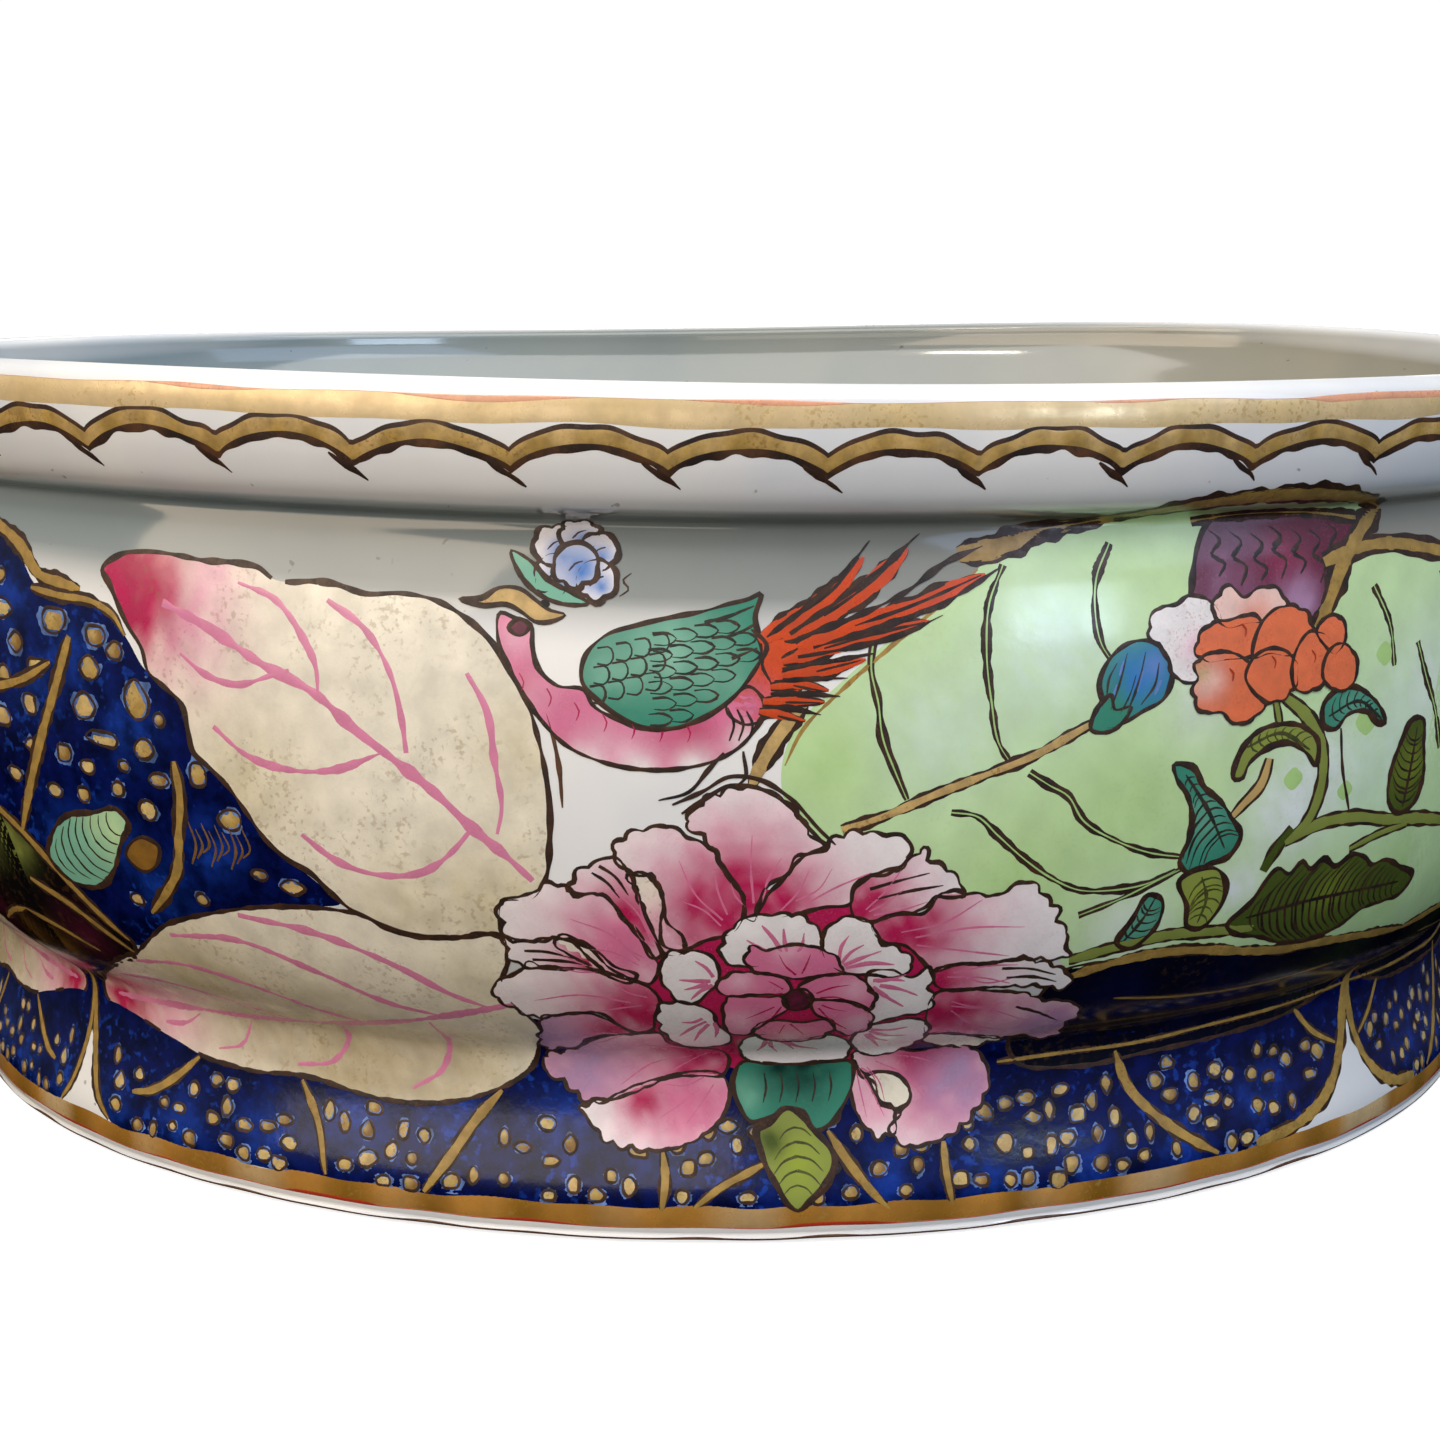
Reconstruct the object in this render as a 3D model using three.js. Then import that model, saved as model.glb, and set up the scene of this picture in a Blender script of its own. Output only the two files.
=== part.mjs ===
// Oval footed serving bowl in porcelain. The potter presses four pieces in moulds and lutes them
// together with slip before the glaze firing: a flared foot skirt, a bulging bowl wall, a floor
// that lies in the wall's ledge, and a collar-like lip on top. Each seam is a stepped seat.
//
// Millimetres, +Z up, +X along the bowl's length. The origin is the middle of the plane that the
// foot stands on. A profile is drawn as (r, z), with r measured along the length; across the width
// every ring is narrower by the same amount, so that walls keep their thickness all the way round.
import * as THREE from "three";

// Overall sizes, over the lip.
const LENGTH = 305;
const WIDTH = 221;
const HEIGHT = 124;

// Heights of the pieces.
const FOOT_HEIGHT = 28;
const LIP_HEIGHT = 18;
const BELLY_RISE = 44; // waist to the widest level of the wall
const UNDERCUT_RISE = 4.7; // groove to the lip's lower edge
const FOOT_BAND = 6.5; // upright band at the bottom of the skirt

// How far the outside is drawn in from the end of the lip.
const BELLY_INSET = 2.5;
const GROOVE_INSET = 8.5;
const WAIST_INSET = 17;
const FOOT_INSET = 12.5;
const LIP_EDGE_INSET = 1.5;

// Clay thicknesses.
const WALL = 4.5;
const LIP_WALL = 5;
const FOOT_WALL = 6;
const FLOOR_THICKNESS = 6;
const FLOOR_INSET = 16; // waist to the edge of the floor plate
const FLOOR_LEDGE = 4; // width of the ledge that the floor plate lies on

// Seams and edges.
const SLIP_GAP = 0.3; // layer of slip between two luted faces
const SEAT_STEP = 1.5; // height of the step that centres one piece on the next
const EDGE_ROUND = 1.2; // outer lower edge of the foot
const CREST_ROUND = 2.3; // height of the rounded crest of the lip

// Mesh steps.
const AROUND = 64;
const LONG_CURVE = 7;
const SHORT_CURVE = 4;
const CREST_STEPS = 6;
const EDGE_STEPS = 3;

const rim = LENGTH / 2;
const belly = rim - BELLY_INSET;
const groove = rim - GROOVE_INSET;
const waist = rim - WAIST_INSET;
const foot = rim - FOOT_INSET;
const floorEdge = waist - FLOOR_INSET;
const ledgeEdge = floorEdge - FLOOR_LEDGE;
const plateEdge = ledgeEdge - SLIP_GAP; // inside this ring the oval only shrinks in proportion
const lipEdge = rim - LIP_EDGE_INSET;

const waistZ = FOOT_HEIGHT;
const bellyZ = waistZ + BELLY_RISE;
const grooveZ = HEIGHT - LIP_HEIGHT;
const floorZ = waistZ + FLOOR_THICKNESS;
const ledgeZ = waistZ + FLOOR_THICKNESS / 2;
const lipEdgeZ = grooveZ + UNDERCUT_RISE;
const crestZ = HEIGHT - CREST_ROUND;

const at = (r, z) => new THREE.Vector2(r, z);

/** A point part of the way along each axis from one point to another. */
const between = (from, to, shareR, shareZ) =>
  at(from.x + (to.x - from.x) * shareR, from.y + (to.y - from.y) * shareZ);

/** Cubic curve from one point to another, pulled towards two handles given as (r, z) shares. */
function curve(from, to, leave, arrive, steps) {
  const start = between(from, to, ...leave);
  const end = between(from, to, ...arrive);
  return new THREE.CubicBezierCurve(from, start, end, to).getPoints(steps);
}

/** Joins stretches of a profile, dropping a point that repeats the one before it. */
function chain(...stretches) {
  const points = stretches.flat();
  return points.filter((p, i) => i === 0 || p.distanceTo(points[i - 1]) > 1e-6);
}

/** Turns a profile into an oval solid: each ring keeps r along X and loses `stretch` along Y. */
function ovalLathe(profile) {
  const stretch = rim - WIDTH / 2;
  const geometry = new THREE.LatheGeometry(profile, AROUND);
  geometry.rotateX(Math.PI / 2);
  const position = geometry.getAttribute("position");
  for (let i = 0; i < position.count; i++) {
    const ring = Math.max(Math.hypot(position.getX(i), position.getY(i)), plateEdge);
    position.setY(i, position.getY(i) * (1 - stretch / ring));
  }
  geometry.computeVertexNormals();
  return geometry;
}

/** Flared skirt: flat ring to stand on, upright band, concave flare and a tongue into the wall. */
function footProfile() {
  const ringInside = at(foot - FOOT_WALL, 0);
  const bandTop = at(foot, FOOT_BAND);
  const top = at(waist, waistZ - SLIP_GAP);
  const tongue = waist - FOOT_WALL / 2 - SLIP_GAP;
  const tongueZ = waistZ + SEAT_STEP - SLIP_GAP;
  return chain(
    [ringInside, at(foot - EDGE_ROUND, 0)],
    curve(at(foot - EDGE_ROUND, 0), at(foot, EDGE_ROUND), [0.55, 0], [1, 0.45], EDGE_STEPS),
    curve(bandTop, top, [0.15, 0.2], [0.9, 0.5], LONG_CURVE),
    [at(tongue, top.y), at(tongue, tongueZ)],
    curve(at(waist - FOOT_WALL, tongueZ), ringInside, [0.05, 0.5], [0.8, 0.8], SHORT_CURVE),
  );
}

/** Bulging wall from the waist to the groove, with a ledge inside for the floor plate. */
function wallProfile() {
  const outsideFoot = at(waist, waistZ);
  const outsideBelly = at(belly, bellyZ);
  const outsideTop = at(groove, grooveZ);
  const seat = groove - WALL / 2;
  const insideTop = at(groove - WALL, grooveZ - SEAT_STEP);
  const insideBelly = at(belly - WALL, bellyZ);
  const insideFoot = at(floorEdge, floorZ);
  const slotInside = waist - FOOT_WALL - SLIP_GAP;
  const slotOutside = waist - FOOT_WALL / 2;
  return chain(
    curve(outsideFoot, outsideBelly, [0.55, 0.14], [1, 0.4], LONG_CURVE),
    curve(outsideBelly, outsideTop, [0, 0.47], [0.25, 0.87], SHORT_CURVE),
    [at(seat, grooveZ), at(seat, insideTop.y)],
    curve(insideTop, insideBelly, [0.75, 0.13], [1, 0.53], SHORT_CURVE),
    curve(insideBelly, insideFoot, [0, 0.55], [0.45, 1], LONG_CURVE),
    [at(floorEdge, ledgeZ), at(ledgeEdge, ledgeZ), at(ledgeEdge, waistZ)],
    [at(slotInside, waistZ), at(slotInside, waistZ + SEAT_STEP)],
    [at(slotOutside, waistZ + SEAT_STEP), at(slotOutside, waistZ), outsideFoot],
  );
}

/** Floor plate: its upper half is wider and lies on the wall's ledge. */
function floorProfile() {
  const upper = floorEdge - SLIP_GAP;
  const stepZ = ledgeZ + SLIP_GAP;
  return [
    at(0, waistZ),
    at(plateEdge, waistZ),
    at(plateEdge, stepZ),
    at(upper, stepZ),
    at(upper, floorZ),
    at(0, floorZ),
  ];
}

/** Lip: undercut, upright convex face, rounded crest, and an inner face that runs into the wall. */
function lipProfile() {
  const bottom = at(groove, grooveZ + SLIP_GAP);
  const edge = at(lipEdge, lipEdgeZ);
  const shoulder = at(rim, crestZ);
  const inner = at(rim - LIP_WALL, crestZ);
  const tongue = groove - WALL / 2 - SLIP_GAP;
  const tongueZ = grooveZ - SEAT_STEP + SLIP_GAP;
  const middle = (shoulder.x + inner.x) / 2;
  const crest = new THREE.EllipseCurve(middle, crestZ, LIP_WALL / 2, CREST_ROUND, 0, Math.PI);
  return chain(
    curve(bottom, edge, [0.4, 0.1], [1, 0.4], SHORT_CURVE),
    curve(edge, shoulder, [0.9, 0.3], [1, 0.6], SHORT_CURVE),
    crest.getPoints(CREST_STEPS),
    curve(inner, at(groove - WALL, tongueZ), [0, 0.3], [0.8, 0.7], SHORT_CURVE),
    [at(tongue, tongueZ), at(tongue, bottom.y), bottom],
  );
}

/** One named piece of glazed porcelain. */
function piece(name, profile, color) {
  const glazed = new THREE.MeshStandardMaterial({ color, roughness: 0.12, metalness: 0 });
  const mesh = new THREE.Mesh(ovalLathe(profile), glazed);
  mesh.name = name;
  return mesh;
}

const bowl = new THREE.Group();
bowl.add(
  piece("foot_skirt", footProfile(), 0xe6e4da),
  piece("bowl_wall", wallProfile(), 0xe9ede9),
  piece("bowl_floor", floorProfile(), 0xe4e9e8),
  piece("rim_lip", lipProfile(), 0xf1f2ec),
);

export default bowl;
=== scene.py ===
"""Looks of a footed oval porcelain serving bowl, painted in overglaze enamels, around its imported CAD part.

The bowl is four glazed bodies (foot, wall, well and lip), each a closed revolve of its own profile,
stretched to an oval. The painting is thin raised enamel: every motif is drawn in flat millimetres (u along
the belly, v up the outside of the profile), filled, and laid on the bowl by BowlSkin. One panel of motifs
goes round the bowl four times, mirrored on the two ends, so that every edge meets itself.
"""

import logging
import math
from dataclasses import dataclass, field
from enum import Enum

import bpy
import numpy as np
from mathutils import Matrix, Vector
from mathutils.geometry import delaunay_2d_cdt


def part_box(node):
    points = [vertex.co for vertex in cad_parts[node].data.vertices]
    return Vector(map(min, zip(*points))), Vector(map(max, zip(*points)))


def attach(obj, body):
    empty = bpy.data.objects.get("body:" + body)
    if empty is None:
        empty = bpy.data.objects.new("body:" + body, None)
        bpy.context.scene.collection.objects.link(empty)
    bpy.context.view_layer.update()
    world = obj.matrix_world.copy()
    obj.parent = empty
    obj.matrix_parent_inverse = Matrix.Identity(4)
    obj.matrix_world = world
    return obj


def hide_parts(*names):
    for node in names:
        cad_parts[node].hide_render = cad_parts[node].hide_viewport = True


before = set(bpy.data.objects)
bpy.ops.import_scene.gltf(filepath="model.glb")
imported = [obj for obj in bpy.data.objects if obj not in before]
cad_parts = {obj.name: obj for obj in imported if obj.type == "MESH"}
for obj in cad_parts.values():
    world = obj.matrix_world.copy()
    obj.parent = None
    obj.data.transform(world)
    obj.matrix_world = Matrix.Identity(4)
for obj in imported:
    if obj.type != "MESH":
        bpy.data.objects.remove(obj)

MM = 0.001
LOG = logging.getLogger("serving_bowl")
Flat = tuple[float, ...]
Lines = tuple[tuple[Flat, float], ...]
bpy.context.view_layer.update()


class Paint(str, Enum):
    """Colours of the enamels, as fired, in sRGB hex; a few also serve as painted shade or painted highlights
    where noted.
    """

    CREAM = "#F6EEDA"
    CREAM_SHADE = "#D8CBA2"
    TAUPE = "#AE9A78"
    ROSE_WHITE = "#FAF4F2"
    ROSE_PALE = "#F3B9CC"
    ROSE = "#E27AA0"
    ROSE_DEEP = "#BE2358"
    PLUM = "#66203C"
    LILAC = "#BE98BE"
    COBALT = "#07124F"
    COBALT_LIT = "#1B48B4"
    HALO = "#6C8CCB"
    DOT = "#D3B878"
    GREEN = "#CBE9AE"
    GREEN_LIGHT = "#DAF2DC"
    GREEN_DEEP = "#B7DC8C"
    MILK = "#EDF6F1"
    TEAL = "#3F8F78"
    TEAL_LIGHT = "#7DBBA2"
    TEAL_DARK = "#0B2A26"
    OLIVE = "#4C5B24"
    OLIVE_LIGHT = "#8E9A4C"
    LIME = "#9DAE3E"
    CORAL = "#EE7A50"
    CORAL_PALE = "#F6CFC4"
    ORANGE = "#D94F22"
    IRON = "#B23A20"
    OCHRE = "#B4924C"
    OCHRE_DARK = "#8A6328"
    TAN = "#D2B072"
    INK = "#281915"
    INK_THIN = "#5E3E28"
    BLACK = "#120F12"
    VEIN = "#E68DB0"
    BLUE_WASH = "#7B9AD0"
    BUD_BLUE = "#3B7ED0"
    NAVY = "#0A0D1E"
    GILT = "#EBD0A0"
    PEACH = "#E3A582"
    GOLD_OCHRE = "#C98F40"
    GOLD_DARK = "#966A20"
    GOLD_WORN = "#E3C78E"


def linear(paint: Paint | str) -> tuple[float, float, float]:
    """Turns an sRGB hex colour to linear light.

    Args:
        paint: hex string such as "#AABBCC".

    Returns:
        Red, green and blue in linear light, 0 to 1.
    """
    text = paint.value if isinstance(paint, Paint) else paint
    parts = [int(text[i : i + 2], 16) / 255 for i in (1, 3, 5)]
    return tuple(c / 12.92 if c <= 0.04045 else ((c + 0.055) / 1.055) ** 2.4 for c in parts)


def rgba(paint: Paint | str) -> tuple[float, ...]:
    """Linear colour with full alpha, as a shader socket wants it."""
    return (*linear(paint), 1.0)


def mixed(first: Paint | np.ndarray, second: Paint, share: np.ndarray) -> np.ndarray:
    """Blends one colour into another in linear light.

    Args:
        first: a paint, or rows of linear colours.
        second: paint that is blended in.
        share: how much of the second shows, 0 to 1, one row per colour.

    Returns:
        Rows of linear colours.
    """
    base = np.array(linear(first)) if isinstance(first, Paint) else first
    return base * (1 - share) + np.array(linear(second)) * share


# ---------------------------------------------------------------- finishes


@dataclass(frozen=True)
class Enamel:
    """A fired ceramic colour whose hue comes from the painted attribute and whose grain comes from noise.

    Args:
        title: material's name, the common name of the real one.
        roughness: surface roughness of the fired layer.
        coat: share of clear flux over it.
        mottle: how much the pigment's density changes, 0 to 1.
        mottle_mm: size of those changes.
        speck: colour of the specks that show in it.
        speck_share: how strongly the specks show, 0 to 1.
        speck_mm: size of one speck.
        metal: metallic share, for gilding.
        relief_mm: height of the brushed unevenness.
    """

    title: str
    roughness: float = 0.24
    coat: float = 0.35
    mottle: float = 0.22
    mottle_mm: float = 5.0
    speck: Paint = Paint.OLIVE
    speck_share: float = 0.2
    speck_mm: float = 0.5
    metal: float = 0.0
    relief_mm: float = 0.05


class Finish(Enum):
    """The finishes of the painting, one material each."""

    # Opaque arsenic-white enamel tinted cream: dusty olive specks, broad uneven brush density.
    CREAM = Enamel("cream_overglaze_enamel", 0.28, 0.30, 0.15, 4.5, Paint.OCHRE_DARK, 0.34, 0.8)
    # Gold-ruby rose enamel: fine stipple of deeper pink in a milky ground.
    ROSE = Enamel("rose_overglaze_enamel", 0.24, 0.35, 0.08, 3.5, Paint.ROSE, 0.13, 0.4)
    # Translucent copper-green enamel, glassy and pooled, the glaze showing through where thin.
    GREEN = Enamel("copper_green_enamel", 0.20, 0.50, 0.06, 7.0, Paint.OLIVE_LIGHT, 0.07, 0.6)
    # Underglaze cobalt: deep and glassy, brighter where the wash is thin.
    COBALT = Enamel("underglaze_cobalt", 0.14, 0.35, 0.70, 3.6, Paint.COBALT_LIT, 0.60, 1.5)
    # Overfired dark cobalt: almost black, with a brown bloom.
    NAVY = Enamel("overfired_cobalt", 0.18, 0.35, 0.35, 4.5, Paint.OCHRE_DARK, 0.12, 1.1)
    # Iron-red and coral enamel, thin, brushed, streaky.
    CORAL = Enamel("iron_red_enamel", 0.28, 0.25, 0.14, 2.5, Paint.IRON, 0.35, 0.4)
    # Ochre ribbon enamel with brown streaks, over the outlines of the large leaves.
    OCHRE = Enamel("ochre_ribbon_enamel", 0.34, 0.20, 0.30, 2.2, Paint.OCHRE_DARK, 0.7, 0.5, 0.0)
    # Manganese-brown outline pigment: nearly matt, uneven, dry at its edges.
    INK = Enamel("manganese_outline", 0.42, 0.10, 0.5, 1.6, Paint.INK_THIN, 0.55, 0.4)
    # Burnished gilding: soft metal sheen, rubbed thin in patches.
    GILT = Enamel("burnished_gilding", 0.30, 0.2, 0.16, 4.0, Paint.OCHRE, 0.6, 0.7, 0.2)


@dataclass(frozen=True)
class Glaze:
    """A clear fired glaze on white porcelain, or the bare biscuit where it was wiped off.

    Args:
        title: material's name.
        light: colour where the glaze is thin.
        shade: colour where the glaze pools.
        roughness: surface roughness.
        coat: share of the clear coat.
        wave_mm: height of the slow waves left by throwing and turning.
        pits: how strongly the dark pin-holes show, 0 to 1.
    """

    title: str
    light: str = "#F7F6F3"
    shade: str = "#E6E9EC"
    roughness: float = 0.10
    coat: float = 0.5
    wave_mm: float = 0.35
    pits: float = 0.5


def add_node(
    tree: bpy.types.NodeTree, kind: str, settings: dict | None = None, **inputs: object
) -> bpy.types.Node:
    """Adds a shader node, sets its properties, and fills or links its inputs.

    Args:
        tree: node tree that gets it.
        kind: node type without the "ShaderNode" prefix.
        settings: node properties by name.
        inputs: values or sockets by input name, "_" standing for a space, or by i and the input's number.

    Returns:
        The new node.
    """
    node = tree.nodes.new("ShaderNode" + kind)
    for key, value in (settings or {}).items():
        setattr(node, key, value)
    for key, value in inputs.items():
        numbered = key[0] == "i" and key[1:].isdigit()
        socket = node.inputs[int(key[1:]) if numbered else key.replace("_", " ")]
        if isinstance(value, bpy.types.NodeSocket):
            tree.links.new(value, socket)
        else:
            socket.default_value = value
    return node


class Shader:
    """Builds the node materials."""

    def __init__(self, title: str) -> None:
        """Starts an empty material.

        Args:
            title: material's name.
        """
        self.material = bpy.data.materials.new(title)
        self.material.use_nodes = True
        self.tree = self.material.node_tree
        self.tree.nodes.clear()

    def add(self, kind: str, settings: dict | None = None, **inputs: object) -> bpy.types.Node:
        """Adds a node to this material's tree, with the same arguments as add_node."""
        return add_node(self.tree, kind, settings, **inputs)

    def ramp(self, source: bpy.types.NodeSocket, low: float, high: float) -> bpy.types.NodeSocket:
        """Spreads a value so that low becomes 0 and high becomes 1.

        Args:
            source: value to spread.
            low: value that becomes 0.
            high: value that becomes 1.

        Returns:
            The spread value's socket.
        """
        steps = {"interpolation_type": "SMOOTHSTEP"}
        node = self.add("MapRange", steps, Value=source, From_Min=low, From_Max=high)
        return node.outputs[0]

    def blend(self, share: object, first: object, second: object, mode: str = "MIX") -> bpy.types.NodeSocket:
        """Mixes two colours.

        Args:
            share: how much of the second shows.
            first: first colour or socket.
            second: second colour or socket.
            mode: blend type.

        Returns:
            The mixed colour's socket.
        """
        settings = {"data_type": "RGBA", "blend_type": mode}
        return self.add("Mix", settings, i0=share, i6=first, i7=second).outputs[2]

    def noise(self, size_mm: float, detail: float = 3.0, rough: float = 0.55) -> bpy.types.NodeSocket:
        """A noise value over the piece's own Object coordinates.

        Args:
            size_mm: size of one noise cell.
            detail: octaves.
            rough: weight of the finer octaves.

        Returns:
            The noise value's socket.
        """
        place = self.add("TexCoord").outputs["Object"]
        scale = 1000.0 / size_mm
        node = self.add("TexNoise", Vector=place, Scale=scale, Detail=detail, Roughness=rough)
        return node.outputs[0]

    def enamel(self, look: Enamel) -> bpy.types.Material:
        """Painted enamel: attribute colour, mottled, specked, slightly raised by the brush.

        Args:
            look: the enamel's values.

        Returns:
            The finished material.
        """
        wash = self.add("Attribute", {"attribute_name": "wash"}).outputs["Color"]
        density = self.ramp(self.noise(look.mottle_mm, 4.0, 0.6), 0.3, 0.72)
        low = 1.0 - look.mottle
        high = 1.0 + 0.35 * look.mottle
        gain = self.add("MapRange", Value=density, To_Min=low, To_Max=high).outputs[0]
        tone = self.blend(1.0, wash, gain, "MULTIPLY")
        dots = self.ramp(self.noise(look.speck_mm, 2.0, 0.5), 0.54, 0.66)
        dusty = self.ramp(self.noise(2.6 * look.mottle_mm, 4.0, 0.6), 0.46, 0.62)
        reach = self.add("MapRange", Value=dusty, To_Min=0.02, To_Max=look.speck_share).outputs[0]
        amount = self.add("Math", {"operation": "MULTIPLY"}, i0=dots, i1=reach).outputs[0]
        colour = self.blend(amount, tone, rgba(look.speck))
        gloss = self.add(
            "MapRange", Value=density, To_Min=look.roughness * 1.35, To_Max=look.roughness * 0.75
        ).outputs[0]
        relief = self.add(
            "Bump", Strength=0.5, Distance=look.relief_mm * MM, Height=self.noise(1.4, 3.0, 0.6)
        ).outputs[0]
        body = self.add(
            "BsdfPrincipled",
            Base_Color=colour,
            Roughness=gloss,
            Metallic=look.metal,
            Coat_Weight=look.coat,
            Coat_Roughness=0.11,
            Normal=relief,
        )
        self.add("OutputMaterial", Surface=body.outputs[0])
        return self.material

    def glaze(self, look: Glaze) -> bpy.types.Material:
        """Glazed porcelain: cool where the glaze pools, pin-holed, with slow throwing waves.

        Args:
            look: the glaze's values.

        Returns:
            The finished material.
        """
        darkening = self.ramp(self.noise(38.0, 3.0, 0.55), 0.35, 0.68)
        tone = self.blend(darkening, rgba(look.light), rgba(look.shade))
        holes = self.ramp(self.noise(2.6, 2.0, 0.5), 0.735, 0.77)
        amount = self.add("Math", {"operation": "MULTIPLY"}, i0=holes, i1=look.pits).outputs[0]
        pitted = self.blend(amount, tone, rgba(Paint.INK_THIN))
        wash = self.add("Attribute", {"attribute_name": "wash"}).outputs["Color"]
        colour = self.blend(1.0, pitted, wash, "MULTIPLY")
        waves = self.add(
            "Bump", Strength=0.35, Distance=look.wave_mm * MM, Height=self.noise(26.0, 2.0, 0.4)
        ).outputs[0]
        peel = self.add(
            "Bump", Strength=0.25, Distance=0.03 * MM, Height=self.noise(1.1, 2.0, 0.5), Normal=waves
        ).outputs[0]
        body = self.add(
            "BsdfPrincipled",
            Base_Color=colour,
            Roughness=look.roughness,
            Coat_Weight=look.coat,
            Coat_Roughness=0.05,
            Normal=peel,
        )
        self.add("OutputMaterial", Surface=body.outputs[0])
        return self.material


# ---------------------------------------------------------------- shape of the bowl


@dataclass
class BowlSkin:
    """Outside of the bowl as a surface of u (mm along the belly) and v (mm up the profile).

    Args:
        rim: half the length at the rim, taken from the frame's box.
        stretch: how much shorter each ring's half width is than its half length.
        top: height of the crest.
        smooth_mm: how softly the creases are rounded by the glaze.
        plate_edge: half length of the floor plate, inside which rings shrink evenly to the middle.
        warp: kiln warp's mean, cos 2t, sin 2t, cos 3t and cos 4t shares, mm.
        warp_from: height at which the warp starts, mm.
    """

    rim: float
    stretch: float
    top: float
    smooth_mm: float = 1.6
    plate_edge: float = 114.9
    warp: Flat = (-0.14, -0.10, -1.10, 0.20, -0.38)
    warp_from: float = 60.0
    WAIST = 28.0
    BELLY = 72.0
    GROOVE = 18.0
    THROAT = 19.3
    STEP = 0.25
    REACH = 24
    CREASES = (7.2, 29.2, 112.3, 121.3)

    outside: np.ndarray = field(init=False)
    inside: np.ndarray = field(init=False)
    slope: np.ndarray = field(init=False)
    v: np.ndarray = field(init=False)
    turn: np.ndarray = field(init=False)
    run: np.ndarray = field(init=False)
    round_mm: float = field(init=False)

    def __post_init__(self) -> None:
        """Works out both profiles and the oval's length table.

        WAIST and BELLY are heights in mm, GROOVE and THROAT drops below the crest. The outside has a point
        every STEP, and REACH points to each side take part in its rounding. CREASES lie up the profile.
        """
        r = self.rim
        top = self.top
        belly = self.BELLY
        groove = top - self.GROOVE
        throat = top - self.THROAT
        curves = (
            self.curve((r - 13.7, 0), (r - 12.5, 1.2), (0.55, 0), (1, 0.45)),
            self.curve((r - 12.5, 1.2), (r - 12.5, 6.5), (0, 0.3), (0, 0.7)),
            self.curve((r - 12.5, 6.5), (r - 17, self.WAIST), (0.15, 0.2), (0.9, 0.5)),
            self.curve((r - 17, self.WAIST), (r - 2.5, belly), (0.55, 0.14), (1, 0.4)),
            self.curve((r - 2.5, belly), (r - 8.5, groove), (0, 0.47), (0.25, 0.87)),
            self.curve((r - 8.5, groove), (r - 1.5, top - 13.3), (0.4, 0.1), (1, 0.4)),
            self.curve((r - 1.5, top - 13.3), (r, top - 2.3), (0.9, 0.3), (1, 0.6)),
            self.curve((r, top - 2.3), (r - 2.5, top), (0, 0.56), (0.44, 1)),
        )
        self.outside = self.even(np.vstack(curves), self.STEP)
        self.inside = np.vstack(
            (
                self.curve((r - 2.5, top), (r - 5, top - 2.3), (0.56, 0), (1, 0.44)),
                self.curve((r - 5, top - 2.3), (r - 13, throat), (0, 0.3), (0.8, 0.7)),
                self.curve((r - 13, throat), (r - 7, belly), (0.75, 0.13), (1, 0.53)),
                self.curve((r - 7, belly), (r - 33, 34), (0, 0.55), (0.45, 1)),
            )
        )
        steps = np.hypot(*np.diff(self.outside, axis=0).T)
        self.v = np.concatenate(((0.0,), np.cumsum(steps)))
        near = np.arange(-self.REACH, self.REACH + 1) * self.STEP
        kernel = np.exp(-0.5 * (near / self.smooth_mm) ** 2)
        kernel /= kernel.sum()
        ends = ((self.REACH, self.REACH), (0, 0))
        padded = np.pad(self.outside, ends, mode="reflect", reflect_type="odd")
        soft = np.stack([np.convolve(padded[:, k], kernel, "valid") for k in (0, 1)], axis=1)
        # The lowest 2 mm keep their shape, so that the foot still meets its ground ring.
        soft[:8] = self.outside[:8]
        self.outside = soft
        self.slope = np.gradient(soft, self.v, axis=0)
        turn = np.linspace(0.0, 2 * np.pi, 4097)
        a = self.rim - 2.5
        pace = np.hypot(a * np.cos(turn), (a - self.stretch) * np.sin(turn))
        run = np.concatenate(((0.0,), np.cumsum((pace[1:] + pace[:-1]) / 2 * np.diff(turn))))
        self.turn = turn
        self.run = run
        self.round_mm = float(run[-1])

    @staticmethod
    def curve(start: Flat, end: Flat, first: Flat, second: Flat, steps: int = 120) -> np.ndarray:
        """A cubic Bezier curve whose handles are shares of the step from start to end.

        Args:
            start: first point, mm.
            end: last point, mm.
            first: share of the step at which the first handle stands, along each axis.
            second: the same for the second handle.
            steps: points on the curve.

        Returns:
            Points as rows of radius and height.
        """
        a = np.array(start, float)
        d = np.array(end, float) - a
        t = np.linspace(0, 1, steps)[:, None]
        b = a + d * np.array(first)
        c = a + d * np.array(second)
        return (1 - t) ** 3 * a + 3 * (1 - t) ** 2 * t * b + 3 * (1 - t) * t * t * c + t**3 * (a + d)

    @staticmethod
    def even(line: np.ndarray, step: float) -> np.ndarray:
        """Resamples a line at even steps of its length.

        Args:
            line: points as rows.
            step: spacing, mm.

        Returns:
            The evenly spaced points.
        """
        length = np.concatenate(((0.0,), np.cumsum(np.hypot(*np.diff(line, axis=0).T))))
        keep = np.concatenate(((True,), np.diff(length) > 1e-9))
        line = line[keep]
        length = length[keep]
        at = np.linspace(0, length[-1], int(round(length[-1] / step)) + 1)
        return np.stack([np.interp(at, length, line[:, k]) for k in (0, 1)], axis=1)

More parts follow.
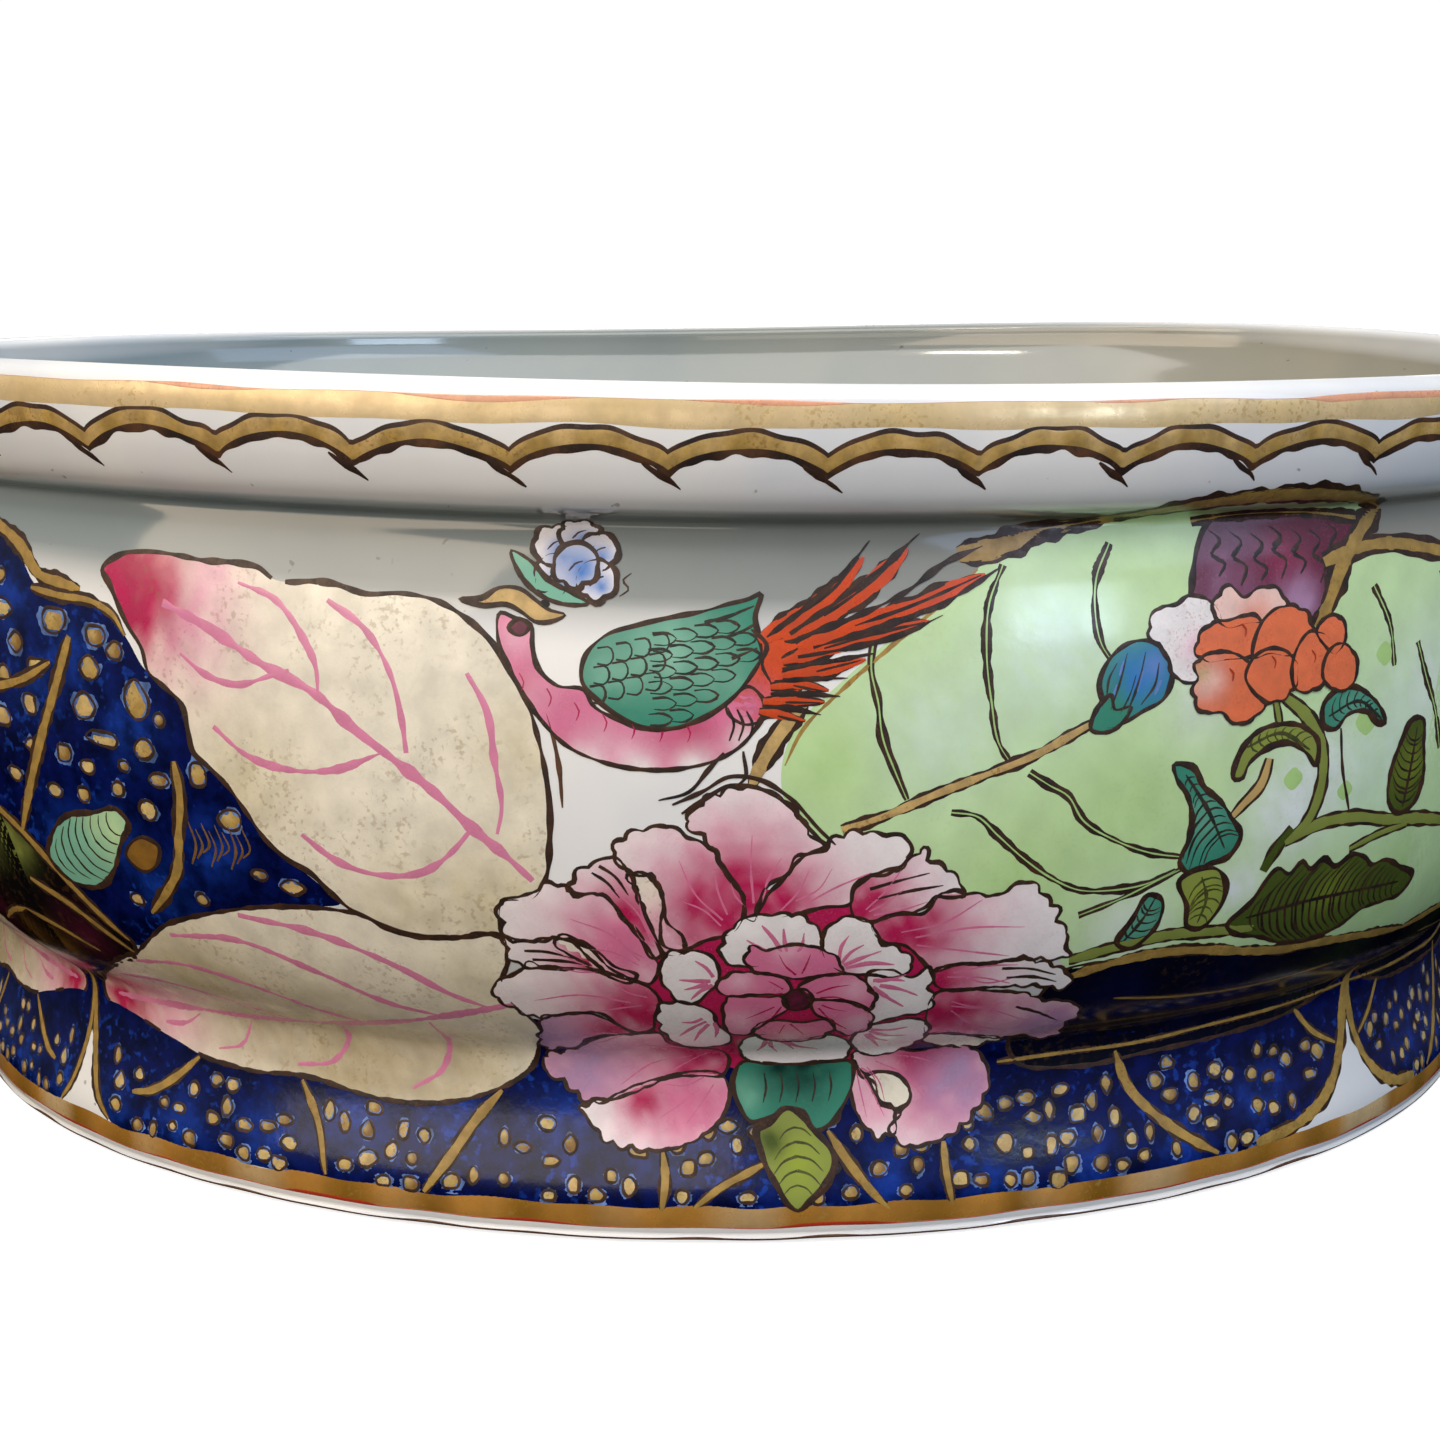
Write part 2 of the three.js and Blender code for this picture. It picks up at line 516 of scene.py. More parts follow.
    def lift_of_warp(self, turn: np.ndarray, z: np.ndarray) -> np.ndarray:
        """Height that kiln warp adds: a saddle over the oval, growing smoothly from the belly to the rim.

        Args:
            turn: angle round the bowl, radians, 0 at the front.
            z: height, mm.

        Returns:
            Added height, mm.
        """
        mean, two_cos, two_sin, three, four = self.warp
        rise = np.clip((z - self.warp_from) / (self.top - self.warp_from), 0, 1)
        wave = mean + two_cos * np.cos(2 * turn) + two_sin * np.sin(2 * turn)
        wave = wave + three * np.cos(3 * turn) + four * np.cos(4 * turn)
        return rise * rise * (3 - 2 * rise) * wave

    def oval(self, r: np.ndarray, z: np.ndarray, turn: np.ndarray) -> np.ndarray:
        """Places radius and height on the oval: x = r sin, y = -(r - stretch) cos, z warped by the kiln.

        Args:
            r: half length of the ring, mm.
            z: height, mm.
            turn: angle, radians.

        Returns:
            Points in metres, last axis x, y, z.
        """
        narrow = 1 - self.stretch / np.maximum(r, self.plate_edge)
        high = z + self.lift_of_warp(turn, z)
        return np.stack([r * np.sin(turn), -r * narrow * np.cos(turn), high], axis=-1) * MM

    def place(self, u: np.ndarray, v: np.ndarray, lift: np.ndarray) -> np.ndarray:
        """Lays painted points on the outside, lifted along its normal.

        Args:
            u: mm along the belly, 0 at the front centre.
            v: mm up the profile.
            lift: mm above the glaze.

        Returns:
            Points in metres.
        """
        turn = np.interp(np.mod(u, self.round_mm), self.run, self.turn)
        r = np.interp(v, self.v, self.outside[:, 0])
        z = np.interp(v, self.v, self.outside[:, 1])
        dr = np.interp(v, self.v, self.slope[:, 0])
        dz = np.interp(v, self.v, self.slope[:, 1])
        s, c = np.sin(turn), np.cos(turn)
        short = r - self.stretch
        normal = np.stack([short * s * dz, -r * c * dz, -dr * (r * c * c + short * s * s)], axis=-1)
        normal /= np.linalg.norm(normal, axis=-1, keepdims=True)
        return self.oval(r, z, turn) + normal * (np.asarray(lift) * MM)[..., None]


# ---------------------------------------------------------------- meshes


@dataclass
class Piece:
    """One finished mesh object.

    Args:
        name: object's name.
        slot: material slot; not used.
        material: its finish.
        stands_for: CAD nodes that it replaces in the picture.
    """

    name: str
    slot: str
    material: bpy.types.Material
    stands_for: tuple[str, ...] = ()

    def build(self, points: np.ndarray, faces: np.ndarray, tints: np.ndarray) -> bpy.types.Object:
        """Puts points and faces into a smooth-shaded mesh that rides on the root body.

        Args:
            points: rows of x, y, z in metres.
            faces: rows of three or four point numbers.
            tints: linear colour of each point, stored in the attribute that enamels read.

        Returns:
            The new object.
        """
        mesh = bpy.data.meshes.new(self.name)
        mesh.vertices.add(len(points))
        mesh.vertices.foreach_set("co", points.astype(np.float32).ravel())
        corners = faces.shape[1]
        mesh.loops.add(faces.size)
        mesh.loops.foreach_set("vertex_index", faces.astype(np.int32).ravel())
        mesh.polygons.add(len(faces))
        mesh.polygons.foreach_set("loop_start", np.arange(len(faces), dtype=np.int32) * corners)
        mesh.polygons.foreach_set("use_smooth", np.ones(len(faces), dtype=bool))
        layer = mesh.color_attributes.new("wash", "FLOAT_COLOR", "POINT")
        colour = np.ones((len(points), 4), dtype=np.float32)
        colour[:, :3] = tints
        layer.data.foreach_set("color", colour.ravel())
        mesh.update(calc_edges=True)
        mesh.validate()
        mesh.materials.append(self.material)
        made = bpy.data.objects.new(self.name, mesh)
        bpy.context.scene.collection.objects.link(made)
        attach(made, "root")
        if self.stands_for:
            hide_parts(*self.stands_for)
        LOG.info("%s: %d faces", self.name, len(faces))
        return made


def grid_faces(rows: int, columns: int, ring: bool) -> np.ndarray:
    """Faces of a grid of points numbered row by row, closed round its rows' direction.

    Args:
        rows: steps round the bowl or along a path.
        columns: points across.
        ring: True if the last row joins the first.

    Returns:
        Quads as rows of four point numbers.
    """
    a = np.arange(rows if ring else rows - 1)
    b = (a + 1) % rows
    j = np.arange(columns - 1)
    low = a[:, None] * columns + j
    high = b[:, None] * columns + j
    return np.stack([low, high, high + 1, low + 1], axis=-1).reshape(-1, 4)


# ---------------------------------------------------------------- painting in flat millimetres


@dataclass(frozen=True)
class Wash:
    """A soft patch of colour: full at its centre, fading as exp(-(distance / radius) squared).

    Args:
        u: centre along the belly, mm.
        v: centre up the profile, mm.
        radius: distance at which it has faded to about a third, mm.
        paint: its colour.
        strength: share of the colour at the centre; over 1 widens the full part.
    """

    u: float
    v: float
    radius: float
    paint: Paint
    strength: float = 1.0


@dataclass(frozen=True)
class Patch:
    """A filled enamel shape.

    Args:
        outline: u, v pairs in mm, read in twos, joined by a smooth closed curve.
        finish: enamel it is painted in.
        paint: its main colour.
        washes: soft colours over it.
        rank: order of painting; a higher rank lies on the lower ones.
        edge: width of its outline stroke, 0 for none.
        ink: colour of the outline stroke.
        gaps: u, v, radius triples in which the outline stroke is left out.
        ruffle: height in mm of the small lobes on the side away from the flower's centre.
        core: the flower's centre that the ruffles turn away from.
    """

    outline: Flat
    finish: Finish
    paint: Paint
    washes: tuple[Wash, ...] = ()
    rank: float = 1
    edge: float = 0.6
    ink: Paint = Paint.INK
    gaps: Flat = ()
    ruffle: float = 0.0
    core: Flat = (0.0, 0.0)


@dataclass(frozen=True)
class Stroke:
    """A brush line.

    Args:
        path: u, v pairs in mm, read in twos.
        width: widest width, mm.
        paint: its colour.
        finish: enamel it is painted in.
        rank: order of painting.
        taper: share of the width left at the start and at the end.
        rim: width of the dark line that borders it on both sides, 0 for none.
        worn: how much the width wavers, 0 to 1.
    """

    path: Flat
    width: float
    paint: Paint = Paint.INK
    finish: Finish = Finish.INK
    rank: float = 2
    taper: tuple[float, float] = (0.45, 0.35)
    rim: float = 0.0
    worn: float = 0.28


def pairs(values: Flat | np.ndarray) -> np.ndarray:
    """Reads a flat run of u, v values as rows of points."""
    return np.asarray(values, float).reshape(-1, 2)


def smooth_line(points: np.ndarray, step: float, ring: bool) -> np.ndarray:
    """A smooth curve through points: cubic Hermite spans with parabola tangents, sampled at even steps.

    Args:
        points: rows of u, v.
        step: spacing of the samples, mm.
        ring: True for a closed curve.

    Returns:
        Rows of u, v along the curve, without the repeated end on a ring.
    """
    p = np.vstack((points, points[:1])) if ring else points
    d = np.maximum(np.hypot(*np.diff(p, axis=0).T), 1e-6)[:, None]
    pace = np.diff(p, axis=0) / d
    tangent = np.empty_like(p)
    tangent[1:-1] = (pace[1:] * d[:-1] + pace[:-1] * d[1:]) / (d[1:] + d[:-1])
    if ring:
        tangent[0] = tangent[-1] = (pace[0] * d[-1] + pace[-1] * d[0]) / (d[0] + d[-1])
    else:
        tangent[0] = pace[0]
        tangent[-1] = pace[-1]
    s = np.concatenate(((0.0,), np.cumsum(d[:, 0])))
    count = max(int(math.ceil(s[-1] / step)), 4)
    at = np.linspace(0, s[-1], count + 1)
    k = np.clip(np.searchsorted(s, at, side="right") - 1, 0, len(d) - 1)
    t = ((at - s[k]) / d[k, 0])[:, None]
    t2, t3 = t * t, t * t * t
    line = (2 * t3 - 3 * t2 + 1) * p[k] + (t3 - 2 * t2 + t) * d[k] * tangent[k]
    line += (3 * t2 - 2 * t3) * p[k + 1] + (t3 - t2) * d[k] * tangent[k + 1]
    return line[:-1] if ring else line


def segment_distance(at: np.ndarray, ring: np.ndarray) -> np.ndarray:
    """Distance of each point from the nearest side of a closed line.

    Args:
        at: points as rows.
        ring: closed line's points as rows.

    Returns:
        Distances in mm.
    """
    a = ring
    b = np.roll(ring, -1, axis=0) - ring
    long = np.maximum((b * b).sum(1), 1e-9)
    best = np.full(len(at), 1e9)
    for start in range(0, len(at), 2000):
        q = at[start : start + 2000, None, :] - a[None]
        t = np.clip((q * b).sum(2) / long, 0, 1)
        best[start : start + 2000] = np.sqrt(((q - t[..., None] * b) ** 2).sum(2)).min(1)
    return best


def inside_ring(at: np.ndarray, ring: np.ndarray) -> np.ndarray:
    """True for points inside a closed line, by counting how many sides a ray to the right crosses.

    Args:
        at: points as rows.
        ring: closed line's points as rows.

    Returns:
        One truth value per point.
    """
    x1, y1 = ring.T
    x2, y2 = np.roll(ring, -1, axis=0).T
    x, y = at[:, :1], at[:, 1:]
    spans = (y1 > y) != (y2 > y)
    rise = np.where(np.abs(y2 - y1) < 1e-12, 1e-12, y2 - y1)
    return ((spans & (x < (x2 - x1) * (y - y1) / rise + x1)).sum(1) % 2) == 1


def cloud(at: np.ndarray, size: float, seed: int) -> np.ndarray:
    """Smooth seeded unevenness between -1 and 1: a sum of sine waves in random directions.

    Args:
        at: points as rows.
        size: size of the features, mm.
        seed: seed of the directions and phases.

    Returns:
        One value per point.
    """
    dice = np.random.default_rng(seed)
    angle = dice.uniform(0, 2 * np.pi, 7)
    pitch = dice.uniform(0.6, 1.9, 7) / size * 2 * np.pi
    phase = dice.uniform(0, 2 * np.pi, 7)
    wave = at[:, :1] * np.cos(angle) * pitch + at[:, 1:] * np.sin(angle) * pitch + phase
    return np.sin(wave).sum(1) / 4.5


class Canvas:
    """Collects filled shapes and brush lines of one motif, finish by finish, in panel millimetres."""

    HALF_WIDTH = 118.0
    SPACING = 1.25
    COARSE = 0.7
    FINE = 0.45
    SMALL = 6.0
    BASE = 0.02
    RISE = 0.018
    LINE_RISE = 0.014
    LEAN = 0.6

    def __init__(self) -> None:
        """Starts with nothing painted.

        HALF_WIDTH is half a panel. SPACING is that of inner points, COARSE and FINE that of outline points,
        and a shape under SMALL counts as small. BASE is the lift of the lowest shape, RISE what a rank adds,
        and LINE_RISE the height of a brush line, all in mm. LEAN is how far forward side veins lean.
        """
        self.parts: dict[Finish, list[tuple[np.ndarray, ...]]] = {}
        self.seed = 11

    def put(
        self, finish: Finish, at: np.ndarray, lift: np.ndarray, tint: np.ndarray, tris: np.ndarray
    ) -> None:
        """Keeps one meshed shape.

        Args:
            finish: enamel of the shape.
            at: rows of u, v.
            lift: height of each point above the glaze, mm.
            tint: linear colour of each point.
            tris: rows of three point numbers.
        """
        self.parts.setdefault(finish, []).append((at, lift, tint, tris))

    def merged(self, finish: Finish) -> tuple[np.ndarray, ...]:
        """Joins all the shapes of one finish.

        Args:
            finish: enamel of the shapes.

        Returns:
            Rows of u, v, then the lifts, the rows of linear colour and the triangles.
        """
        at, lift, tint, tris = zip(*self.parts[finish])
        starts = np.cumsum([0, *(len(rows) for rows in at[:-1])])
        joined = np.vstack([faces + start for faces, start in zip(tris, starts)])
        return np.vstack(at), np.concatenate(lift), np.vstack(tint), joined

    def patch(self, shape: Patch) -> None:
        """Fills a shape: its smoothed outline and a staggered grid of inner points, joined by triangles.

        Args:
            shape: the shape to fill.
        """
        self.seed += 1
        small = np.ptp(pairs(shape.outline), axis=0).max() < self.SMALL
        spacing = self.FINE if shape.ruffle or small else self.COARSE
        ring = smooth_line(pairs(shape.outline), spacing, True)
        if shape.ruffle:
            ring = self.ruffled(ring, shape)
        span = np.ptp(ring, axis=0).max()
        step = self.SPACING if span > self.SMALL else max(span / 5, 0.42)
        low, high = ring.min(0), ring.max(0)
        rows = [np.arange(low[1], high[1], step * 0.87)]
        rows += [np.arange(max(c - 3, low[1]), min(c + 3, high[1]), 0.4) for c in BowlSkin.CREASES]
        rows = np.unique(np.round(np.concatenate(rows), 2))
        cols = np.arange(low[0], high[0], step)
        grid = np.stack(np.meshgrid(cols, rows), axis=-1)
        grid[1::2, :, 0] += step / 2
        inner = grid.reshape(-1, 2)
        inner = inner[inside_ring(inner, ring)]
        inner = inner[segment_distance(inner, ring) > 0.4 * step] if len(inner) else inner
        seats = [Vector(p) for p in np.vstack((ring, inner))]
        count = len(ring)
        sides = [(k, (k + 1) % count) for k in range(count)]
        made = delaunay_2d_cdt(seats, sides, [list(range(count))], 1, 1e-5)
        if not made[2]:
            LOG.warning("an outline near %s could not be filled", np.round(ring[0], 1))
            return
        at = np.array([tuple(p) for p in made[0]])
        tris = np.array(made[2], int)
        side = at[tris[:, 1]] - at[tris[:, 0]]
        other = at[tris[:, 2]] - at[tris[:, 0]]
        turned = side[:, 0] * other[:, 1] < side[:, 1] * other[:, 0]
        tris[turned] = tris[turned][:, ::-1]
        top = self.BASE + self.RISE * shape.rank
        edge = np.clip(segment_distance(at, ring) / 0.55, 0, 1)
        edge[np.abs(at[:, 0]) > self.HALF_WIDTH - 0.3] = 1
        lift = top - 0.012 * (1 - np.sqrt(edge))
        tint = np.tile(np.array(linear(shape.paint)), (len(at), 1))
        for wash in shape.washes:
            far = ((at - (wash.u, wash.v)) ** 2).sum(1) / wash.radius**2
            ragged = 1 + 0.35 * cloud(at, 5.0, self.seed)
            share = np.clip(wash.strength * np.exp(-far) * ragged, 0, 1)[:, None]
            tint = mixed(tint, wash.paint, share)
        tint = tint * (1 + 0.045 * cloud(at, 9.0, self.seed + 500))[:, None]
        self.put(shape.finish, at, lift, tint, tris)
        if shape.edge:
            self.border(ring, shape)

    def ruffled(self, ring: np.ndarray, shape: Patch) -> np.ndarray:
        """Pushes a petal's far side in and out in small round lobes, |sin| of the length along it.

        Args:
            ring: smoothed outline.
            shape: the petal.

        Returns:
            The ruffled outline.
        """
        dice = np.random.default_rng(self.seed)
        far = np.hypot(*(ring - np.array(shape.core)).T)
        share = np.clip((far - far.min()) / max(np.ptp(far), 1e-6) * 1.8 - 0.55, 0, 1)
        length = self.FINE * np.arange(len(ring))
        lobes = max(round(length[-1] / 2.9), 1)
        phase = np.pi * lobes * length / (length[-1] + self.FINE) + dice.uniform(0, np.pi)
        out = np.roll(ring, 1, axis=0) - np.roll(ring, -1, axis=0)
        out = np.stack([-out[:, 1], out[:, 0]], axis=1)
        out /= np.maximum(np.linalg.norm(out, axis=1, keepdims=True), 1e-6)
        out *= np.sign(((ring - ring.mean(0)) * out).sum(1).mean() or 1)
        depth = shape.ruffle * (np.abs(np.sin(phase)) - 0.6) * (0.7 + 0.5 * np.sin(phase * 0.37 + 1))
        return ring + out * (depth * share)[:, None]

    def border(self, ring: np.ndarray, shape: Patch) -> None:
        """Draws a shape's outline stroke, broken at the panel's edges and at the shape's gaps.

        Args:
            ring: the shape's smoothed outline.
            shape: the shape.
        """
        keep = np.abs(ring[:, 0]) < self.HALF_WIDTH - 0.3
        for u, v, radius in np.asarray(shape.gaps).reshape(-1, 3):
            keep &= np.hypot(ring[:, 0] - u, ring[:, 1] - v) > radius
        if keep.all():
            self.ribbon(ring, shape.edge, shape.ink, Finish.INK, shape.rank, (1, 1), 0.42, True)
            return
        first = int(np.argmin(keep))
        ring = np.roll(ring, -first, axis=0)
        keep = np.roll(keep, -first)
        marks = np.flatnonzero(np.diff(np.concatenate(((0,), keep.astype(int), (0,)))))
        for start, end in zip(marks[::2], marks[1::2]):
            if end - start > 3:
                run = np.take(ring, np.arange(start - 1, end + 1), axis=0, mode="wrap")
                self.ribbon(run, shape.edge, shape.ink, Finish.INK, shape.rank, (0.7, 0.7), 0.42, False)

    def stroke(self, line: Stroke) -> None:
        """Draws a brush line, with its dark borders if it has any.

        Args:
            line: the line to draw.
        """
        path = smooth_line(pairs(line.path), self.COARSE, False)
        rank, worn = line.rank, line.worn
        if line.rim:
            wide = line.width + 2 * line.rim
            self.ribbon(path, wide, Paint.INK, Finish.INK, rank, line.taper, worn, False)
            rank, worn = rank + 0.6, 0.6 * worn
        self.ribbon(path, line.width, line.paint, line.finish, rank, line.taper, worn, False)

    def strokes(self, lines: Lines, **look: object) -> None:
        """Draws brush lines that share a look.

        Args:
            lines: path and width of each.
            look: the other values of Stroke.
        """
        for path, width in lines:
            self.stroke(Stroke(path, width, **look))

    def ribbon(
        self,
        path: np.ndarray,
        width: float,
        paint: Paint,
        finish: Finish,
        rank: float,
        taper: tuple[float, float],
        worn: float,
        ring: bool,
    ) -> None:
        """A domed strip along a path: its edges dip under the glaze, its width wavers like a loaded brush.

        Args:
            path: rows of u, v.
            width: widest width, mm.
            paint: colour.
            finish: enamel.
            rank: order of painting.
            taper: share of the width left at both ends.
            worn: how much the width wavers.
            ring: True for a closed path.
        """
        self.seed += 1
        dice = np.random.default_rng(self.seed)
        if ring:
            ahead = np.roll(path, -1, axis=0) - np.roll(path, 1, axis=0)
        else:
            ahead = np.gradient(path, axis=0)
        ahead /= np.maximum(np.linalg.norm(ahead, axis=1, keepdims=True), 1e-6)
        side = np.stack([ahead[:, 1], -ahead[:, 0]], axis=1)
        s = np.linspace(0, 1, len(path))
        long = self.COARSE * len(path)
        turns = dice.uniform(0.6, 1.4, 3) * np.array((long / 16, long / 7, long / 3.2))
        if ring:
            turns = np.maximum(np.round(turns), 1)
        wave = np.sin(2 * np.pi * (turns * s[:, None] + dice.uniform(0, 1, 3)))
        waver = 1 + worn * (wave * (0.55, 0.45, 0.35)).sum(1)
        ends = np.minimum(
            np.clip(s * long / 3.5, 0, 1) ** 0.7 * (1 - taper[0]) + taper[0],
            np.clip((1 - s) * long / 5.0, 0, 1) ** 0.7 * (1 - taper[1]) + taper[1],
        )
        half = 0.5 * width * waver * (1 if ring else ends)
        across = np.array((-1, -0.62, 0, 0.62, 1) if width > 0.8 else (-1.0, 0.0, 1.0))
        shape = np.array((0, 0.85, 1, 0.85, 0) if width > 0.8 else (0.0, 1.0, 0.0))
        at = path[:, None, :] + side[:, None, :] * (half[:, None] * across)[..., None]
        level = self.BASE + self.RISE * rank - 0.005
        lift = np.tile(level + (self.LINE_RISE + 0.005) * shape, (len(path), 1))
        # A loaded brush leaves ink thin and brown in places, and other colours up to a quarter darker.
        base = np.array(linear(paint))
        inked = finish is Finish.INK
        other, most = (np.array(linear(Paint.INK_THIN)), 0.55) if inked else (base * 0.72, 0.5)
        share = (np.clip(0.5 + 0.5 * cloud(path, 6.0, self.seed), 0, 1) * most)[:, None]
        tint = np.repeat(base * (1 - share) + other * share, len(across), axis=0)
        quads = grid_faces(len(path), len(across), ring)
        tris = np.vstack((quads[:, (0, 1, 2)], quads[:, (0, 2, 3)]))
        flat = at.reshape(-1, 2)
        a, b, c = flat[tris[0]]
        if (b - a)[0] * (c - a)[1] < (b - a)[1] * (c - a)[0]:
            tris = tris[:, ::-1]
        self.put(finish, flat, lift.ravel(), tint, tris)

    def hatch(
        self, spine: Flat, reach: float, count: int, paint: Paint, rank: float, width: float, within: Flat
    ) -> None:
        """Draws side veins: strokes that leave a spine on both sides and lean forward.

        Args:
            spine: u, v pairs of the spine.
            reach: length of the strokes at the spine's middle, mm.
            count: strokes on each side.
            paint: colour.
            rank: order of painting.
            width: width of a stroke.
            within: outline that the strokes stay inside.
        """
        ring = smooth_line(pairs(within), self.COARSE, True)
        path = smooth_line(pairs(spine), self.COARSE, False)
        ahead = np.gradient(path, axis=0)
        ahead /= np.linalg.norm(ahead, axis=1, keepdims=True)
        for k in range(count):
            at = int((k + 0.7) / (count + 0.8) * (len(path) - 1))
            swell = math.sin(math.pi * (k + 1) / (count + 1.3)) ** 0.6
            for sign in (1, -1):
                go = np.array((-ahead[at, 1], ahead[at, 0])) * sign
                tries = np.linspace(1.0, 0.15, 18)[:, None] * (reach * swell)
                tips = path[at] + (go * 0.95 + ahead[at] * self.LEAN) * tries
                good = np.flatnonzero(inside_ring(tips, ring) & (segment_distance(tips, ring) > 0.35))
                if not len(good):
                    continue
                far = float(tries[good[0], 0])
                mid = path[at] + (go * 0.55 + ahead[at] * self.LEAN * 0.3) * far
                end = path[at] + (go * 0.95 + ahead[at] * self.LEAN) * far
                self.stroke(Stroke((*path[at], *mid, *end), width, paint, rank=rank, taper=(0.9, 0.25)))


@dataclass(frozen=True)
class Panel:
    """Where one repeat of the painting sits round the bowl.

    Args:
        centre: its middle, mm round the belly from the front.
        squeeze: share of its full length that it keeps.
        mirrored: True if left and right are swapped.
    """

    centre: float
    squeeze: float
    mirrored: bool

    def turned(self, u: np.ndarray) -> np.ndarray:
        """Turns panel millimetres into millimetres round the bowl."""
        return self.centre + (-1 if self.mirrored else 1) * self.squeeze * u


@dataclass
class Motif:
    """A sub-assembly of the painting: it draws itself on a canvas and is laid on the bowl once per panel.

    Args:
        skin: surface that it is laid on.
        panels: repeats of the painting.
        name: start of its pieces' names.
        slot: material slot.
    """

    skin: BowlSkin
    panels: tuple[Panel, ...]
    name: str = "motif"
    slot: str = "wall_porcelain"

    def draw(self, canvas: Canvas) -> None:
        """Draws the motif's shapes and lines on the canvas."""
        raise NotImplementedError

    def build(self, palette: dict[Finish, bpy.types.Material]) -> None:
        """Draws the motif once and builds one piece for each finish, repeated on every panel.

        Args:
            palette: material of each finish.
        """
        canvas = Canvas()
        canvas.seed = 100 * len(self.name) + ord(self.name[0])
        self.draw(canvas)
        for finish in canvas.parts:
            at, lift, tint, tris = canvas.merged(finish)
            points = []
            faces = []
            for k, panel in enumerate(self.panels):
                points.append(self.skin.place(panel.turned(at[:, 0]), at[:, 1], lift))
                faces.append((tris[:, ::-1] if panel.mirrored else tris) + k * len(at))
            piece = Piece(f"{self.name}_{finish.name.lower()}", self.slot, palette[finish])
            piece.build(np.vstack(points), np.vstack(faces), np.tile(tint, (len(self.panels), 1)))


